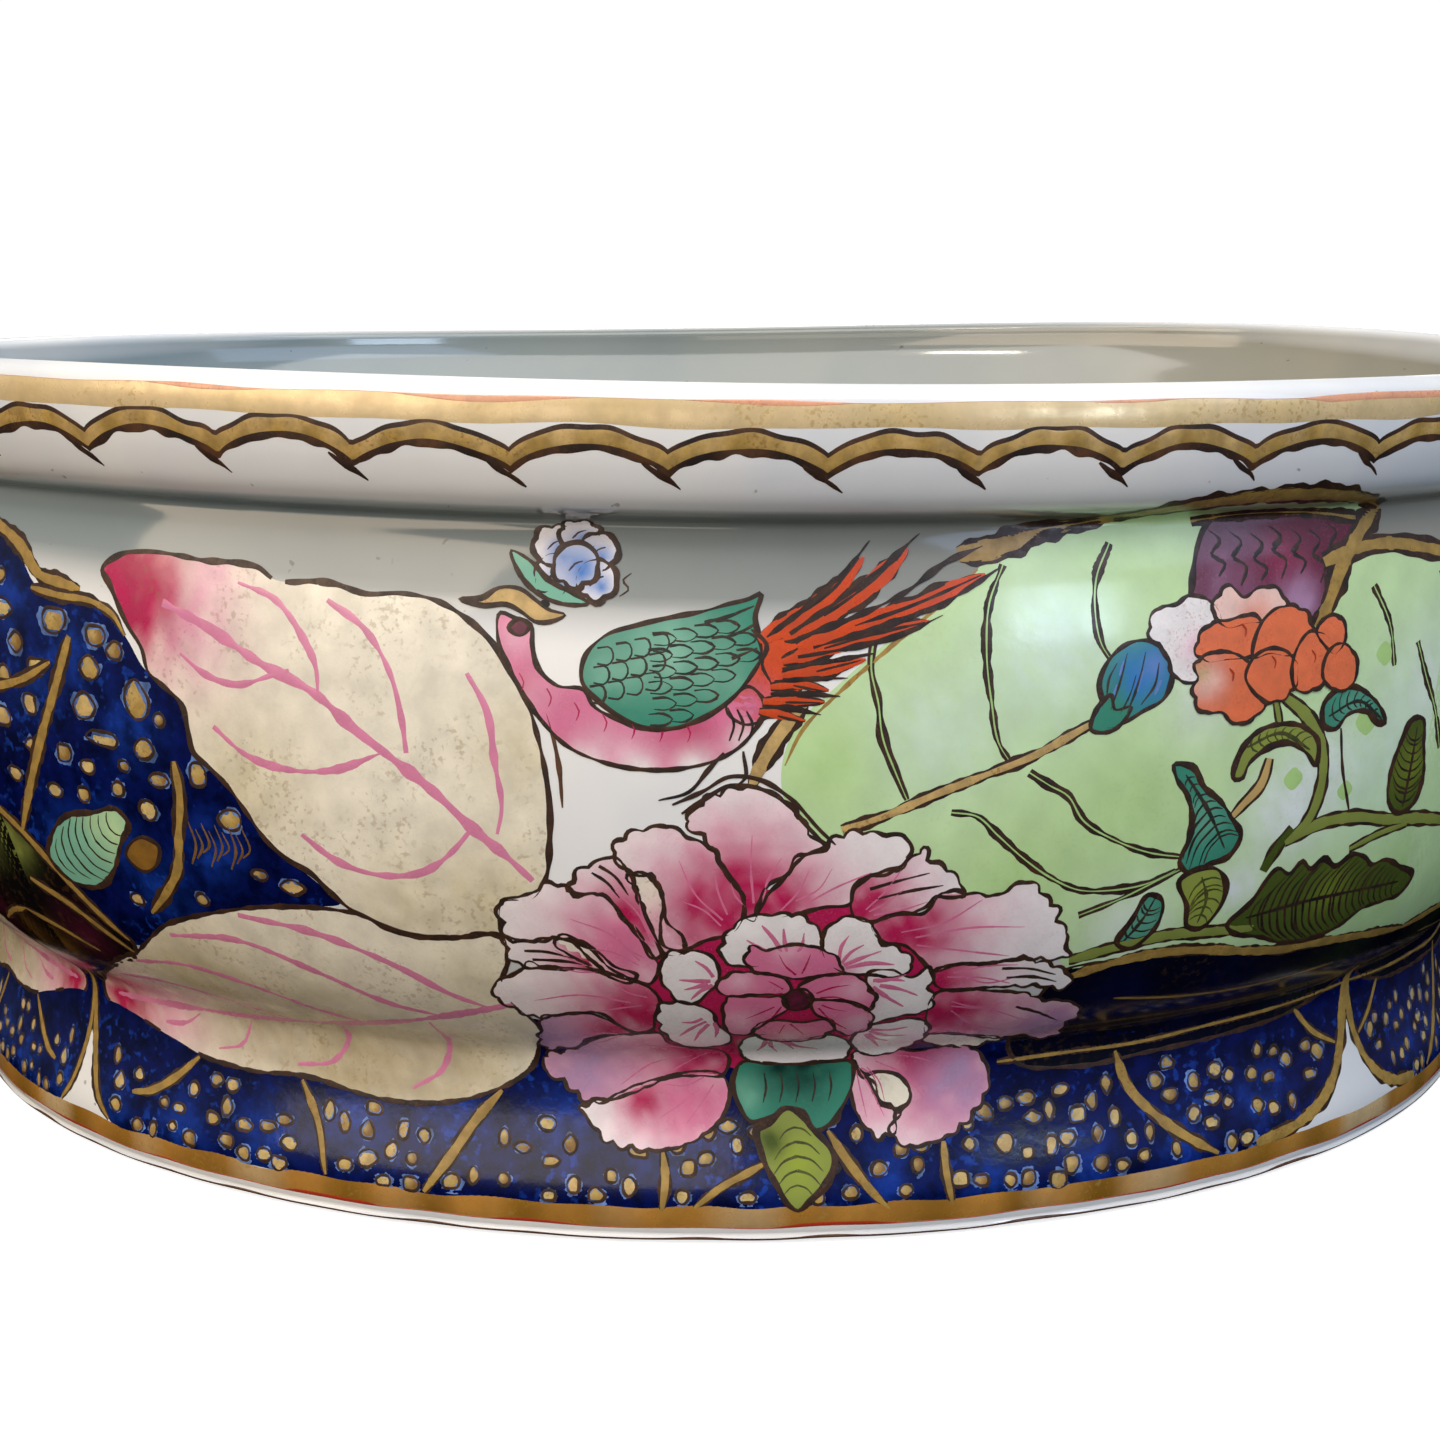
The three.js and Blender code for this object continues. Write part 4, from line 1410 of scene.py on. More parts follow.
@dataclass
class Peony(Motif):
    """The large rose peony: loose outer petals, a white ring, a rose ring, its calyx and an olive bud."""

    name: str = "peony"

    # The lilac washes on the lowest petals, near the waist, are painted shade under the belly.
    OUTER: tuple[PetalRow, ...] = (
        (Paint.ROSE_PALE, ((3, 62, 7, Paint.ROSE_DEEP),),
         (-2.5, 75, 0, 76.5, 4, 77.2, 7.5, 76, 10.5, 73, 12.3, 70, 14, 68.8, 12.5, 68.3, 10, 66.5, 9, 65,
          6.5, 63.5, 5, 60.5, 4.5, 58, 3.5, 58.5, 3, 62, 1, 64.5, -0.5, 67.5, -2, 70, -4.5, 72.3)),
        (Paint.ROSE_PALE, ((0, 60, 7, Paint.ROSE_DEEP),),
         (-14, 68, -13.2, 69.8, -10, 71.3, -6, 71.6, -3.8, 70, -1.3, 69, 0.5, 66, 2.5, 63, 3.2, 59, 2, 56.5,
          -2, 55, -5, 53.5, -7.5, 54, -8, 57.5, -7.5, 61, -9, 64.5, -12, 65.3, -14, 67.3)),
        (Paint.ROSE_PALE, ((7, 60, 6, Paint.ROSE_DEEP),),
         (5, 58.5, 6, 61.5, 9, 65, 10, 67.5, 13, 68, 15.5, 70.3, 18.5, 70.8, 21.5, 70.3, 24.5, 69.8,
          25.3, 67.5, 23.5, 65, 20, 64.3, 18, 62.8, 17.5, 60.5, 14, 60, 10, 59)),
        (Paint.ROSE_WHITE, ((19, 60, 5, Paint.ROSE_DEEP),),
         (17.5, 60.5, 18.2, 63.5, 21, 64.8, 24.5, 66, 27, 68, 28.5, 66, 30.5, 65, 32.5, 62.5, 33, 61,
          29, 60.8, 27, 59, 23, 58.3, 20, 57.5, 18, 58.5)),
        (Paint.ROSE_PALE, ((25, 56, 7, Paint.ROSE_DEEP),),
         (20.5, 57, 24, 58.8, 27.5, 58.5, 30, 61.5, 35, 61, 38, 60.7, 40.5, 62.3, 43, 62, 44.5, 60,
          46.5, 58.3, 47.3, 55.8, 48.8, 54, 49, 51.5, 50, 50, 47, 49.5, 43, 50.2, 38, 49.5, 33, 49.8,
          30, 48.8, 28, 51, 25.5, 53.5, 22, 54.5)),
        (Paint.ROSE_WHITE, ((31, 47.5, 5, Paint.ROSE_DEEP),),
         (30, 48.8, 34, 50, 38, 49.8, 43, 50, 47, 48.8, 50, 47, 51.5, 44.8, 50.5, 43.5, 47.5, 44.5, 43, 45,
          38, 45.2, 33, 45, 30.5, 46.5)),
        (Paint.ROSE_PALE, ((33, 40, 8, Paint.ROSE_DEEP), (51, 34, 5, Paint.LILAC)),
         (31, 44.8, 35, 45.3, 39, 44.5, 42, 44, 45, 43.3, 48, 41.5, 51, 41, 54, 39.5, 55.5, 37, 54.5, 33.5,
          55, 30.5, 52, 29.5, 48, 31.5, 44, 31, 40, 32.5, 36, 34.5, 31.5, 35, 30.5, 39)),
        (Paint.CREAM, (),
         (32, 34.5, 36, 34, 40, 33, 43, 32, 45, 31, 42, 29.5, 38, 29.3, 34, 30.5, 31.5, 32.5)),
        (Paint.ROSE_WHITE, ((33, 29, 7, Paint.ROSE_DEEP), (38, 24, 6, Paint.LILAC)),
         (21, 29, 26, 30.5, 31, 29, 37, 29.8, 41, 28.5, 43.3, 25.5, 43.5, 22.5, 41.5, 19.5, 38, 16.5,
          33, 14.8, 29, 14.8, 27, 17, 28, 19.5, 30.5, 22, 29, 24.8, 26, 25.8, 23.5, 25.5, 21.5, 27)),
        (Paint.ROSE_WHITE, ((24, 22, 3, Paint.ROSE_PALE),),
         (21.3, 28, 22.5, 25.3, 24.5, 24.5, 25.5, 21, 28.5, 20, 27, 16.5, 25.5, 16, 22.5, 18.5, 21, 22,
          20.8, 25)),
        (Paint.CREAM, (),
         (23.5, 25.5, 26, 25.8, 29, 24.8, 30.5, 22, 28.8, 19.8, 26.5, 21, 25, 22, 24, 24)),
        (Paint.ROSE_PALE, ((-2, 30, 8, Paint.ROSE_DEEP), (-22, 27, 7, Paint.LILAC)),
         (-28, 28.5, -25, 29.5, -22, 31, -20, 33.5, -17, 35.5, -12, 36.5, -9, 36.8, -8, 34, -5, 32, 0, 31,
          1.5, 28.5, 0.5, 26, -3, 25.8, -8, 25.5, -12, 23.8, -15.5, 22.5, -20, 21.5, -22, 22, -24.5, 24,
          -28, 26)),
        (Paint.ROSE_WHITE, ((-4, 22, 6, Paint.ROSE), (-12, 22, 2.6, Paint.ROSE_DEEP)),
         (-22, 20.5, -17, 22.5, -14, 24, -9, 25.5, -4, 26.5, 0.5, 25.8, 1.5, 23.5, 0.5, 20, -2, 17.5,
          -6, 15.5, -10, 14.8, -14, 15, -18, 16, -20, 18)),
        (Paint.ROSE_WHITE, ((-13, 54, 6, Paint.ROSE),),
         (-30, 57, -29.8, 60, -27.5, 61, -25, 61.8, -23.5, 63.2, -21, 63, -19, 61.5, -16.5, 62, -14, 60,
          -13, 58.5, -11, 56, -9.5, 53, -8.5, 51, -10, 47.5, -12.5, 48.5, -15, 50, -18, 53.5, -22, 55,
          -24.5, 54.3, -27, 54.3, -29.5, 55)),
        (Paint.ROSE_PALE, ((-12, 58, 5, Paint.ROSE_DEEP),),
         (-20, 62.5, -19, 65, -16.5, 66.5, -14, 67.3, -12.2, 65.5, -11, 62, -9.8, 58, -8.5, 54.5, -8, 52.5,
          -9, 52, -11, 55.5, -13.5, 59, -15, 61.5, -17, 62, -19, 61.8)),
        (Paint.CREAM, ((-7, 56, 3, Paint.ROSE_PALE),),
         (-12, 65, -9, 64.3, -7.5, 61, -7.2, 58, -5, 55.5, -5, 53, -7.5, 52.8, -8.5, 54.8, -9.8, 58.5,
          -11, 62)),
        (Paint.ROSE_WHITE, ((-17, 52, 4, Paint.ROSE_DEEP),),
         (-29.5, 54.5, -27, 54, -24, 54.8, -20.5, 54.5, -18, 51.8, -16, 49.5, -20, 50, -24, 49.8, -27.5, 50,
          -29.5, 52)),
        (Paint.CREAM, ((-13, 49, 3, Paint.ROSE_PALE),),
         (-22.5, 55, -19.5, 54.8, -16.8, 53, -14.5, 50.5, -11.5, 49, -12.3, 47.8, -16, 49, -19.5, 51.5,
          -22.5, 54)),
        (Paint.ROSE_PALE, ((-11, 42, 7, Paint.ROSE_DEEP),),
         (-27.5, 50, -22, 49.8, -17, 49.8, -13, 48.3, -10, 47, -8.5, 44.5, -9.5, 41, -10, 37.8, -12, 36.8,
          -14, 38, -15.5, 39.5, -17, 41.3, -20.5, 41.5, -24, 40.5, -26.5, 39.8, -28.5, 40.5, -30.5, 42,
          -32.5, 44, -32, 46.5, -30, 48, -28, 49)),
        (Paint.LILAC, ((-16, 37, 4, Paint.ROSE_DEEP),),
         (-26.5, 39.5, -22, 41, -18.5, 41.2, -16.5, 40, -14, 37.8, -13, 36.5, -17, 36, -20.5, 34, -22.5, 31,
          -25, 30.5, -27.5, 30, -28, 33, -27, 36.5)),
    )
    WHITE_RING: tuple[Flat, ...] = (
        (-7.5, 52.5, -4, 53.3, -1.5, 52.8, -0.2, 50.5, -0.3, 48, -1.8, 46, -3.5, 44, -5, 43.8, -7, 46,
         -8.3, 49, -8, 51.5),
        (-8.5, 43.5, -6, 44.3, -3, 43.5, -1, 42, -0.5, 39.5, 1.5, 36.5, 1.5, 34, -1, 32.5, -3.5, 32.2,
         -6.5, 33.5, -8, 36, -9, 39.5, -9, 42),
        (0, 53.5, 1.2, 56.5, 3.8, 58.8, 7, 59, 10.5, 59, 13, 57, 14, 54, 13, 52, 10, 51, 6, 50.8, 3, 50.8,
         1, 51.3),
        (14, 53, 14.3, 56.5, 17, 58.5, 20.5, 57.3, 22, 54.3, 25, 53, 26.8, 50, 25.5, 48.5, 21, 48.8,
         17, 49.5, 15, 51),
        (20.5, 49, 24, 49.5, 27, 48, 29.3, 49.8, 30, 47.5, 29.8, 45.5, 31, 43.5, 30, 41, 27, 40.3, 24, 39.3,
         22.5, 38.7, 21.5, 41, 22, 45, 20.5, 47.5),
        (22, 38, 25, 38.8, 28.5, 39.5, 31, 38, 31.5, 34.5, 30, 31, 27, 29, 23, 29, 21, 31, 20, 34),
        (4, 35.5, 7, 36.5, 10, 34.8, 13, 35, 16.5, 36, 19, 34.3, 20.5, 31, 20, 28.5, 17, 27.5, 12, 27,
         7, 27.3, 3.8, 29, 3, 32),
    )
    ROSE_RING: tuple[Flat, ...] = (
        (3.5, 52, 4, 54, 6.5, 53.5, 9.5, 54.3, 13, 53.8, 16, 52, 17, 49.5, 14, 49, 10.5, 48.5, 7, 49.5,
         4.5, 50),
        (0.5, 49, 2.5, 49.8, 6, 49.5, 9.3, 48.3, 10, 46.3, 8, 45.3, 4, 45.5, 1, 45.5, -0.5, 46.8),
        (11, 47, 13, 48.5, 16, 49.2, 19, 48.8, 21, 46.5, 22.3, 43.5, 21.5, 42, 19, 43.5, 15.5, 44.3,
         12.5, 45),
        (1, 45, 5, 45.6, 9, 45, 9.8, 43, 8, 41, 6.5, 39.5, 5, 37.5, 3, 36.3, 1.2, 37.5, 0.5, 41),
        (13, 44, 16, 44.3, 20, 43.3, 22.3, 40.5, 22, 37.5, 19.5, 35.8, 17.5, 37, 16.5, 39.5, 13.8, 41.5),
        (5.2, 39, 8, 40.2, 12, 39.6, 15.5, 40, 16.8, 38, 15.5, 35.5, 11, 34.2, 7, 35, 5, 37),
    )
    CORE = (11, 44.5)

    def draw(self, canvas: Canvas) -> None:
        """Draws the petals from the outside in, then the calyx and the bud.

        Args:
            canvas: canvas that it is painted on.
        """
        halo = (-9, 54, 0, 62, 12, 62, 24, 57, 31, 48, 32, 38, 27, 28, 16, 25, 2, 27, -8, 33, -11, 42)
        canvas.patch(Patch(halo, Finish.ROSE, Paint.ROSE_DEEP, (), 1, 0))
        for paint, washes, outline in self.OUTER:
            finish = Finish.CREAM if paint is Paint.CREAM else Finish.ROSE
            tones = tuple(Wash(u, v, 1.8 * radius, Paint.ROSE_PALE, 0.9) for u, v, radius, _ in washes)
            tones += tuple(Wash(u, v, 1.3 * radius, Paint.ROSE, 0.7) for u, v, radius, _ in washes)
            tones += tuple(Wash(*w) for w in washes)
            base = Paint.ROSE_WHITE if paint is Paint.ROSE_PALE else paint
            canvas.patch(Patch(outline, finish, base, tones, 2, 0.55, ruffle=0.9, core=self.CORE))
            if finish is Finish.ROSE:
                self.fan(canvas, outline, Paint.ROSE, 2, 3, 0.4)
        for outline in self.WHITE_RING:
            middle = pairs(outline).mean(0)
            wash = (Wash(*(middle + 0.45 * (np.array(self.CORE) - middle)), 3.2, Paint.ROSE, 0.9),)
            petal = Patch(outline, Finish.ROSE, Paint.ROSE_WHITE, wash, 3, 0.5, ruffle=0.7, core=self.CORE)
            canvas.patch(petal)
            self.fan(canvas, outline, Paint.ROSE, 3, 4, 0.9)
        for outline in self.ROSE_RING:
            middle = pairs(outline).mean(0)
            wash = (Wash(*(middle + 0.35 * (middle - np.array(self.CORE))), 2.4, Paint.ROSE_PALE, 0.9),)
            petal = Patch(outline, Finish.ROSE, Paint.ROSE, wash, 4, 0.5, ruffle=0.6, core=self.CORE)
            canvas.patch(petal)
            self.fan(canvas, outline, Paint.ROSE_DEEP, 4, 2, 0.4)
        core = (9, 44.5, 10, 46.3, 12, 46.5, 13.2, 44.5, 12, 42.6, 10, 42.6)
        canvas.patch(Patch(core, Finish.INK, Paint.PLUM, (), 4, 0.5))
        calyx = (2, 25, 3.5, 28, 7, 27.8, 12, 27.5, 17, 27.8, 21, 27.5, 21, 24, 19.5, 21, 17.5, 18.5,
                 15, 17.5, 13, 19.5, 11, 20.8, 8, 19.8, 5, 19, 3, 21.5)
        canvas.patch(Patch(calyx, Finish.GREEN, Paint.TEAL, (
            Wash(12, 28, 6, Paint.TEAL_DARK, 0.95), Wash(4, 23, 2.5, Paint.TEAL_LIGHT, 0.7)), 4, 0.7))
        for k in range(5):
            u = 7 + 2.6 * k
            canvas.stroke(Stroke((u, 26.2, u + 0.3, 24, u - 0.2, 21.8), 0.7, Paint.TEAL_DARK, rank=4))
        bud = (5.8, 18, 8, 19, 10, 20.8, 13, 20.5, 14.5, 18, 16.5, 16, 18, 13.5, 17, 10.5, 14, 7.5, 12, 6,
               10.5, 7, 9, 9.5, 7.5, 12, 6.3, 15)
        canvas.patch(Patch(bud, Finish.GREEN, Paint.OLIVE_LIGHT, (
            Wash(12, 13, 4, Paint.LIME, 0.8), Wash(8, 16, 2.5, Paint.OLIVE)), 4, 1.0))
        canvas.hatch((11.5, 19.5, 12, 14, 12, 7), 4.2, 5, Paint.OLIVE, 4, 0.6, bud)
        for shift in (0, 1.2):
            path = (-5 - shift, 73.5 + shift, -2, 75.5 + shift, 1, 77.3 + shift, 5, 77 + shift,
                    9, 74.5 + shift, 12 + shift, 71, 14 + shift, 69)
            canvas.stroke(Stroke(path, 0.6, Paint.INK, rank=3))
        for path in (
            (20, 62.5, 24, 63.6, 28, 64.5), (21, 61, 25, 61.9, 30, 62.6), (40, 48.6, 44, 48.2, 48.5, 46.6),
            (41, 46.8, 45, 46.6, 49, 45.2), (-27, 52.6, -24, 52.6, -20, 51.6),
            (-26, 51.2, -22, 51.2, -18, 50.6), (-17, 65, -15, 63.6, -13.4, 61.4),
            (-16, 66, -14, 64.6, -12.2, 61.8), (44, 40.5, 48, 38.6, 52.5, 35.5),
        ):
            canvas.stroke(Stroke(path, 0.6, Paint.INK, rank=2, taper=(0.8, 0.3)))

    def fan(
        self, canvas: Canvas, outline: Flat, paint: Paint, rank: float, count: int, width: float
    ) -> None:
        """Draws fine petal streaks that start near the flower's centre and fan out towards the petal's edge.

        Args:
            canvas: where to draw.
            outline: the petal's outline.
            paint: colour of the streaks.
            rank: order of painting.
            count: number of streaks.
            width: width of a streak, mm.
        """
        ring = smooth_line(pairs(outline), 0.7, True)
        far = np.hypot(*(ring - self.CORE).T)
        near = ring[int(np.argmin(far))]
        tips = ring[far > np.quantile(far, 0.45)]
        picks = tips[np.linspace(0, len(tips) - 1, count + 2).astype(int)[1:-1]]
        dice = np.random.default_rng(int(abs(near[0] * 31 + near[1] * 17)) + 3)
        for tip in picks:
            start = near + (tip - near) * dice.uniform(0.12, 0.22)
            end = near + (tip - near) * dice.uniform(0.55, 0.82)
            bow = np.array((-(tip - near)[1], (tip - near)[0])) * dice.uniform(-0.06, 0.06)
            path = (*start, *((start + end) / 2 + bow), *end)
            canvas.stroke(Stroke(path, width, paint, Finish.ROSE, rank, (0.7, 0.2)))


@dataclass
class GreenLeaf(Motif):
    """The pale green leaf behind all else on the right, its ochre edges, veins and plum turned-over part."""

    name: str = "green_leaf"

    FIELD = (
        35, 106.5, 30, 102, 22, 96.5, 15, 90.5, 10, 85.5, 8, 80, 8.5, 75, 12, 71, 18, 66, 28, 62, 38, 58,
        46, 52, 52, 46, 64, 48.5, 80, 46.5, 96, 44.8, 108, 43.6, 118.3, 42, 118.3, 102, 108, 104.6,
        100, 105.8, 96.5, 107, 100, 112, 95, 115.3, 88, 117.8, 80, 118.6, 66, 118, 58, 116, 50, 112.5,
        42, 110.5, 37, 108.5,
    )

    def draw(self, canvas: Canvas) -> None:
        """Draws the green field with its lights and shades, then edges, veins and the turned-over part.

        Args:
            canvas: canvas that it is painted on.
        """
        canvas.patch(Patch(self.FIELD, Finish.GREEN, Paint.GREEN, (
            Wash(44, 94, 10, Paint.GREEN_LIGHT, 0.9), Wash(28, 84, 9, Paint.GREEN_LIGHT, 0.7),
            Wash(100, 74, 12, Paint.GREEN_LIGHT, 0.6), Wash(56, 72, 9, Paint.GREEN_DEEP, 0.5),
            Wash(108, 54, 10, Paint.GREEN_DEEP, 0.6), Wash(52, 112, 9, Paint.GREEN_DEEP, 0.6),
            Wash(40, 62, 8, Paint.GREEN_DEEP, 0.6), Wash(14, 80, 6, Paint.GREEN_DEEP, 0.6),
            Wash(82, 69, 7, Paint.MILK, 0.95), Wash(75, 58, 3.6, Paint.MILK, 0.9),
            Wash(58, 54, 6, Paint.MILK, 0.7), Wash(110, 84, 11, Paint.MILK, 0.6),
            Wash(88, 74, 6, Paint.MILK, 0.7), Wash(66, 86, 6, Paint.MILK, 0.5),
        ), 0, 0))
        plum = (69, 111, 66, 107, 64.5, 102, 64, 99, 70, 96, 80, 95, 86, 97, 90, 102, 93, 106, 96, 109.5,
                88, 111.5, 78, 112)
        canvas.patch(Patch(plum, Finish.ROSE, Paint.PLUM, (
            Wash(70, 101, 5, Paint.LILAC, 0.3), Wash(80, 105, 4, Paint.ROSE_DEEP, 0.25),
            Wash(82, 99, 3.5, Paint.LILAC, 0.8)), 1, 0.9))
        for k in range(7):
            u = 68.5 + 3.4 * k
            v = 109.8 - 0.5 * (k % 3)
            path = (u, v, u + 1.5, v - 1.6, u - 0.3, v - 3.6, u + 1.6, v - 5.0, u + 0.4, v - 6.6 - k % 2)
            canvas.stroke(Stroke(path, 0.7, Paint.BLACK, rank=1, worn=0.5))
        canvas.strokes((
            ((31.5, 107.5, 37, 108.4, 42, 110.6, 50, 112.3, 56, 114.6, 62, 117, 70, 118.6, 80, 118.8,
             88, 117.8,
              95, 115.2, 100, 112), 2.6),
            ((100, 112, 94, 107, 90, 103, 87, 98, 85, 95), 2.2),
            ((87, 104, 93, 105.5, 100, 105.8, 108, 104.5, 118, 102), 1.8),
            ((66, 111.5, 74, 112.6, 84, 112.2, 95, 110.2), 1.6),
        ), paint=Paint.OCHRE, finish=Finish.OCHRE, rank=1, taper=(0.8, 0.8), rim=0.75)
        midrib = (16, 71, 22, 73, 28, 75.5, 35, 78, 42, 80.5, 47, 83, 51, 85)
        canvas.stroke(Stroke(midrib, 1.1, Paint.TAN, Finish.OCHRE, 0.5, (1, 0.6), 0.3))
        double = (
            (20, 97.5, 19.5, 93, 20.5, 88, 21, 84, 23, 78.5, 24.5, 75), (37.5, 106, 35.3, 101, 34.8, 95,
             35.5, 88, 37, 81.5, 38, 80), (53, 108.5, 50.5, 104, 50, 99, 51, 94.5, 52, 93),
            (30.5, 73, 34, 72.3, 37, 69.5, 41, 65.8, 45, 62.8, 49.5, 60.5, 54, 60, 60, 60.5, 64, 62),
            (41, 78, 44, 76, 46.5, 74.5, 49, 70.8, 54, 67.5, 60, 65, 64.5, 64),
            (50, 56.5, 56, 58.5, 62, 61, 66, 62.5), (105, 91, 107, 86, 110, 80, 112, 74),
            (96, 100, 99, 94, 100, 88), (111, 101, 113, 94, 114, 88),
        )
        for path in double:
            canvas.stroke(Stroke(path, 0.36, Paint.GREEN_DEEP, Finish.GREEN, 0, (0.9, 0.6), 0.48, 0.4))
        hem = (34, 105.5, 29, 101.2, 22, 95.5, 15.5, 89.8, 10.5, 84.5, 8.4, 80)
        canvas.stroke(Stroke(hem, 0.6, Paint.OCHRE, Finish.OCHRE, 0))


@dataclass
class Sprigs(Motif):
    """Coral flowers, blue bud, small leaves, stems and the serrated leaf on the green field.

    GROW widens each coral petal about its middle, so that it overlaps its neighbours.
    """

    name: str = "sprigs"

    GROW = 1.13
    CORALS: tuple[Flat, ...] = (
        (58.3, 96, 59.5, 98.8, 62, 99.2, 64, 100.2, 66.5, 99.5, 68, 98, 68, 95.5, 66, 94, 65.2, 92, 65.5, 90,
         63, 89.8, 61.5, 91, 60.5, 93.5),
        (68.2, 98.5, 69.5, 101, 71, 101.5, 72.5, 100, 75, 101, 77.5, 100.8, 79, 98.5, 77, 97, 73, 96.8,
         70, 96.5),
        (65.5, 94.5, 67.5, 96.5, 70, 96.8, 74, 97, 75.5, 95, 74.5, 92.5, 72.5, 92, 70, 92, 67, 92,
         65.5, 92.8),
        (65.2, 91, 67.5, 92.2, 70.5, 92, 73, 90.5, 75, 87.5, 75.5, 85.5, 73.5, 83.5, 71, 83.2, 69, 84.8,
         66.5, 85, 65, 87.5, 65.5, 89.5),
        (74.5, 92, 75, 95, 77, 97.3, 80, 98, 82.5, 97, 83.5, 94.5, 82.5, 92.5, 79.5, 91.8, 77, 92.3),
        (73.2, 89, 74.5, 91.5, 77, 92.3, 79.5, 91.5, 81, 89.5, 80.5, 87, 79, 85.8, 76.5, 85.6, 74.5, 87),
        (81.5, 92, 83.5, 94, 86.5, 93, 87.5, 90.5, 86.5, 88, 84, 86.5, 81.5, 87, 80.8, 89.5),
        (85, 94.5, 86.5, 96, 89, 95.8, 89.8, 93.5, 88, 91.3, 86.3, 92.5),
        (87, 91, 88.5, 92, 91, 91, 92, 89, 91, 86.3, 88, 86.3, 86.3, 88),
    )
    LEAVES: tuple[tuple[Paint, Paint, Flat, Flat], ...] = (
        (Paint.TEAL, Paint.TEAL_DARK, (87.5, 82, 93, 83.6, 98, 80.4),
         (86.5, 84, 88, 85.3, 92, 85.8, 95.5, 84, 98, 81.5, 98.8, 79.8, 97.5, 79.8, 95, 81.8, 91, 81.8,
          89, 80, 87, 80.5)),
        (Paint.OLIVE_LIGHT, Paint.OLIVE, (73.5, 79, 79, 80.5, 84.5, 77.5),
         (72, 74.5, 72.5, 78.5, 75, 81, 79, 81.8, 83, 81, 86, 78.5, 85.8, 75, 84, 77, 80, 79, 76.5, 78.3,
          74, 76.5, 73, 74.5)),
        (Paint.TEAL, Paint.TEAL_DARK, (64, 76, 68, 70.5, 71.5, 64.5),
         (62, 77.5, 65, 77, 67, 74, 70, 71.5, 72, 69, 74, 66, 72.5, 63.2, 69, 62.3, 66, 61.5, 64.5, 63,
          65.5, 66.5, 65.5, 70, 64.5, 73, 62.5, 75.8)),
        (Paint.TEAL, Paint.TEAL_DARK, (58, 51.5, 60, 54.5, 61.5, 58),
         (57, 51, 58.5, 55, 60.5, 58.7, 62.5, 57.8, 63, 54.5, 61.5, 51.5, 59, 50)),
        (Paint.OLIVE_LIGHT, Paint.OLIVE, (68.5, 60.5, 70, 57, 69.5, 53),
         (65, 60.5, 67.5, 61.8, 71, 61.3, 73, 58.5, 72.5, 54.5, 70, 51.8, 68, 52.5, 67, 56)),
        (Paint.OLIVE, Paint.BLACK, (78, 52.5, 88, 53.5, 98, 53.5, 109, 53),
         (75, 51.5, 78, 55, 82, 60, 84, 58.8, 86, 60.5, 88, 59, 90, 60.3, 93, 58.6, 96, 60, 99, 59,
          101, 57.4, 103, 57.8, 108, 55.8, 112.5, 53, 111, 50.5, 107, 50, 102, 49.5, 99, 47.5, 93, 46,
          87, 46.5, 82, 48.5, 77, 50)),
        (Paint.OLIVE, Paint.BLACK, (105, 66, 105.5, 72, 106, 78),
         (101.5, 67.5, 101, 71, 102.5, 76, 105, 79.5, 107, 79.3, 108, 75, 108.8, 70, 107.5, 66, 104.5, 65)),
    )
    STEMS: tuple[tuple[Flat, float, Paint], ...] = (
        ((79, 86, 83.5, 82.5, 86.5, 78, 87.3, 72, 85, 66, 82, 64), 1.7, Paint.OLIVE_LIGHT),
        ((78, 85, 78.8, 82), 1.0, Paint.OLIVE_LIGHT),
        ((77.5, 77, 76.5, 73.5, 73.5, 70.5, 72, 69), 1.4, Paint.TAN),
        ((82, 64, 88, 66, 95, 66, 102, 64.5, 109, 63.5, 118, 61.5), 1.7, Paint.OLIVE_LIGHT),
        ((95, 61, 101, 62.5, 107, 63), 1.0, Paint.OLIVE_LIGHT),
        ((79, 60, 80.5, 63, 83, 66), 1.7, Paint.OLIVE),
        ((50, 49, 57, 50.5, 65, 51.5, 73, 51, 80, 50.5), 1.7, Paint.OLIVE_LIGHT),
    )

    def draw(self, canvas: Canvas) -> None:
        """Draws stems, leaves, the blue bud and the coral flowers.

        Args:
            canvas: canvas that it is painted on.
        """
        for path, width, paint in self.STEMS:
            canvas.stroke(Stroke(path, width, paint, Finish.GREEN, 1, (0.7, 0.7), 0.38, 0.15))
        canvas.stroke(Stroke((90, 80, 91, 74, 93.5, 67), 0.6, Paint.INK, rank=1))
        for paint, dark, spine, outline in self.LEAVES:
            middle = pairs(outline).mean(0)
            lit = Paint.TEAL_LIGHT if paint is Paint.TEAL else Paint.LIME
            glow = Wash(middle[0], middle[1], 3.5, lit, 0.5 if paint is not Paint.OLIVE else 0.4)
            canvas.patch(Patch(outline, Finish.GREEN, paint, (glow,), 2, 0.85))
            canvas.stroke(Stroke(spine, 0.7, dark, rank=2))
            wide = float(np.ptp(pairs(outline), axis=0).min())
            long = float(np.hypot(*(pairs(spine)[-1] - pairs(spine)[0])))
            canvas.hatch(spine, wide * 0.7, max(int(long / 1.25), 3), dark, 2, 0.5, outline)
        bud = (51, 86, 50.5, 90, 52, 93, 55, 95, 58, 95, 60.5, 93, 61.2, 90, 60, 87, 57, 85.5, 54, 84,
               52, 83.5, 50.5, 84.5)
        # The bud is teal with a blue wash; its small pale blue wash near the top right is a painted
        # highlight.
        canvas.patch(Patch(bud, Finish.GREEN, Paint.TEAL, (
            Wash(57, 90.5, 4.2, Paint.BUD_BLUE, 1.0), Wash(58.4, 91.6, 1.8, Paint.HALO, 0.8),
            Wash(52.5, 86, 2.5, Paint.TEAL, 0.9)), 2, 0.7))
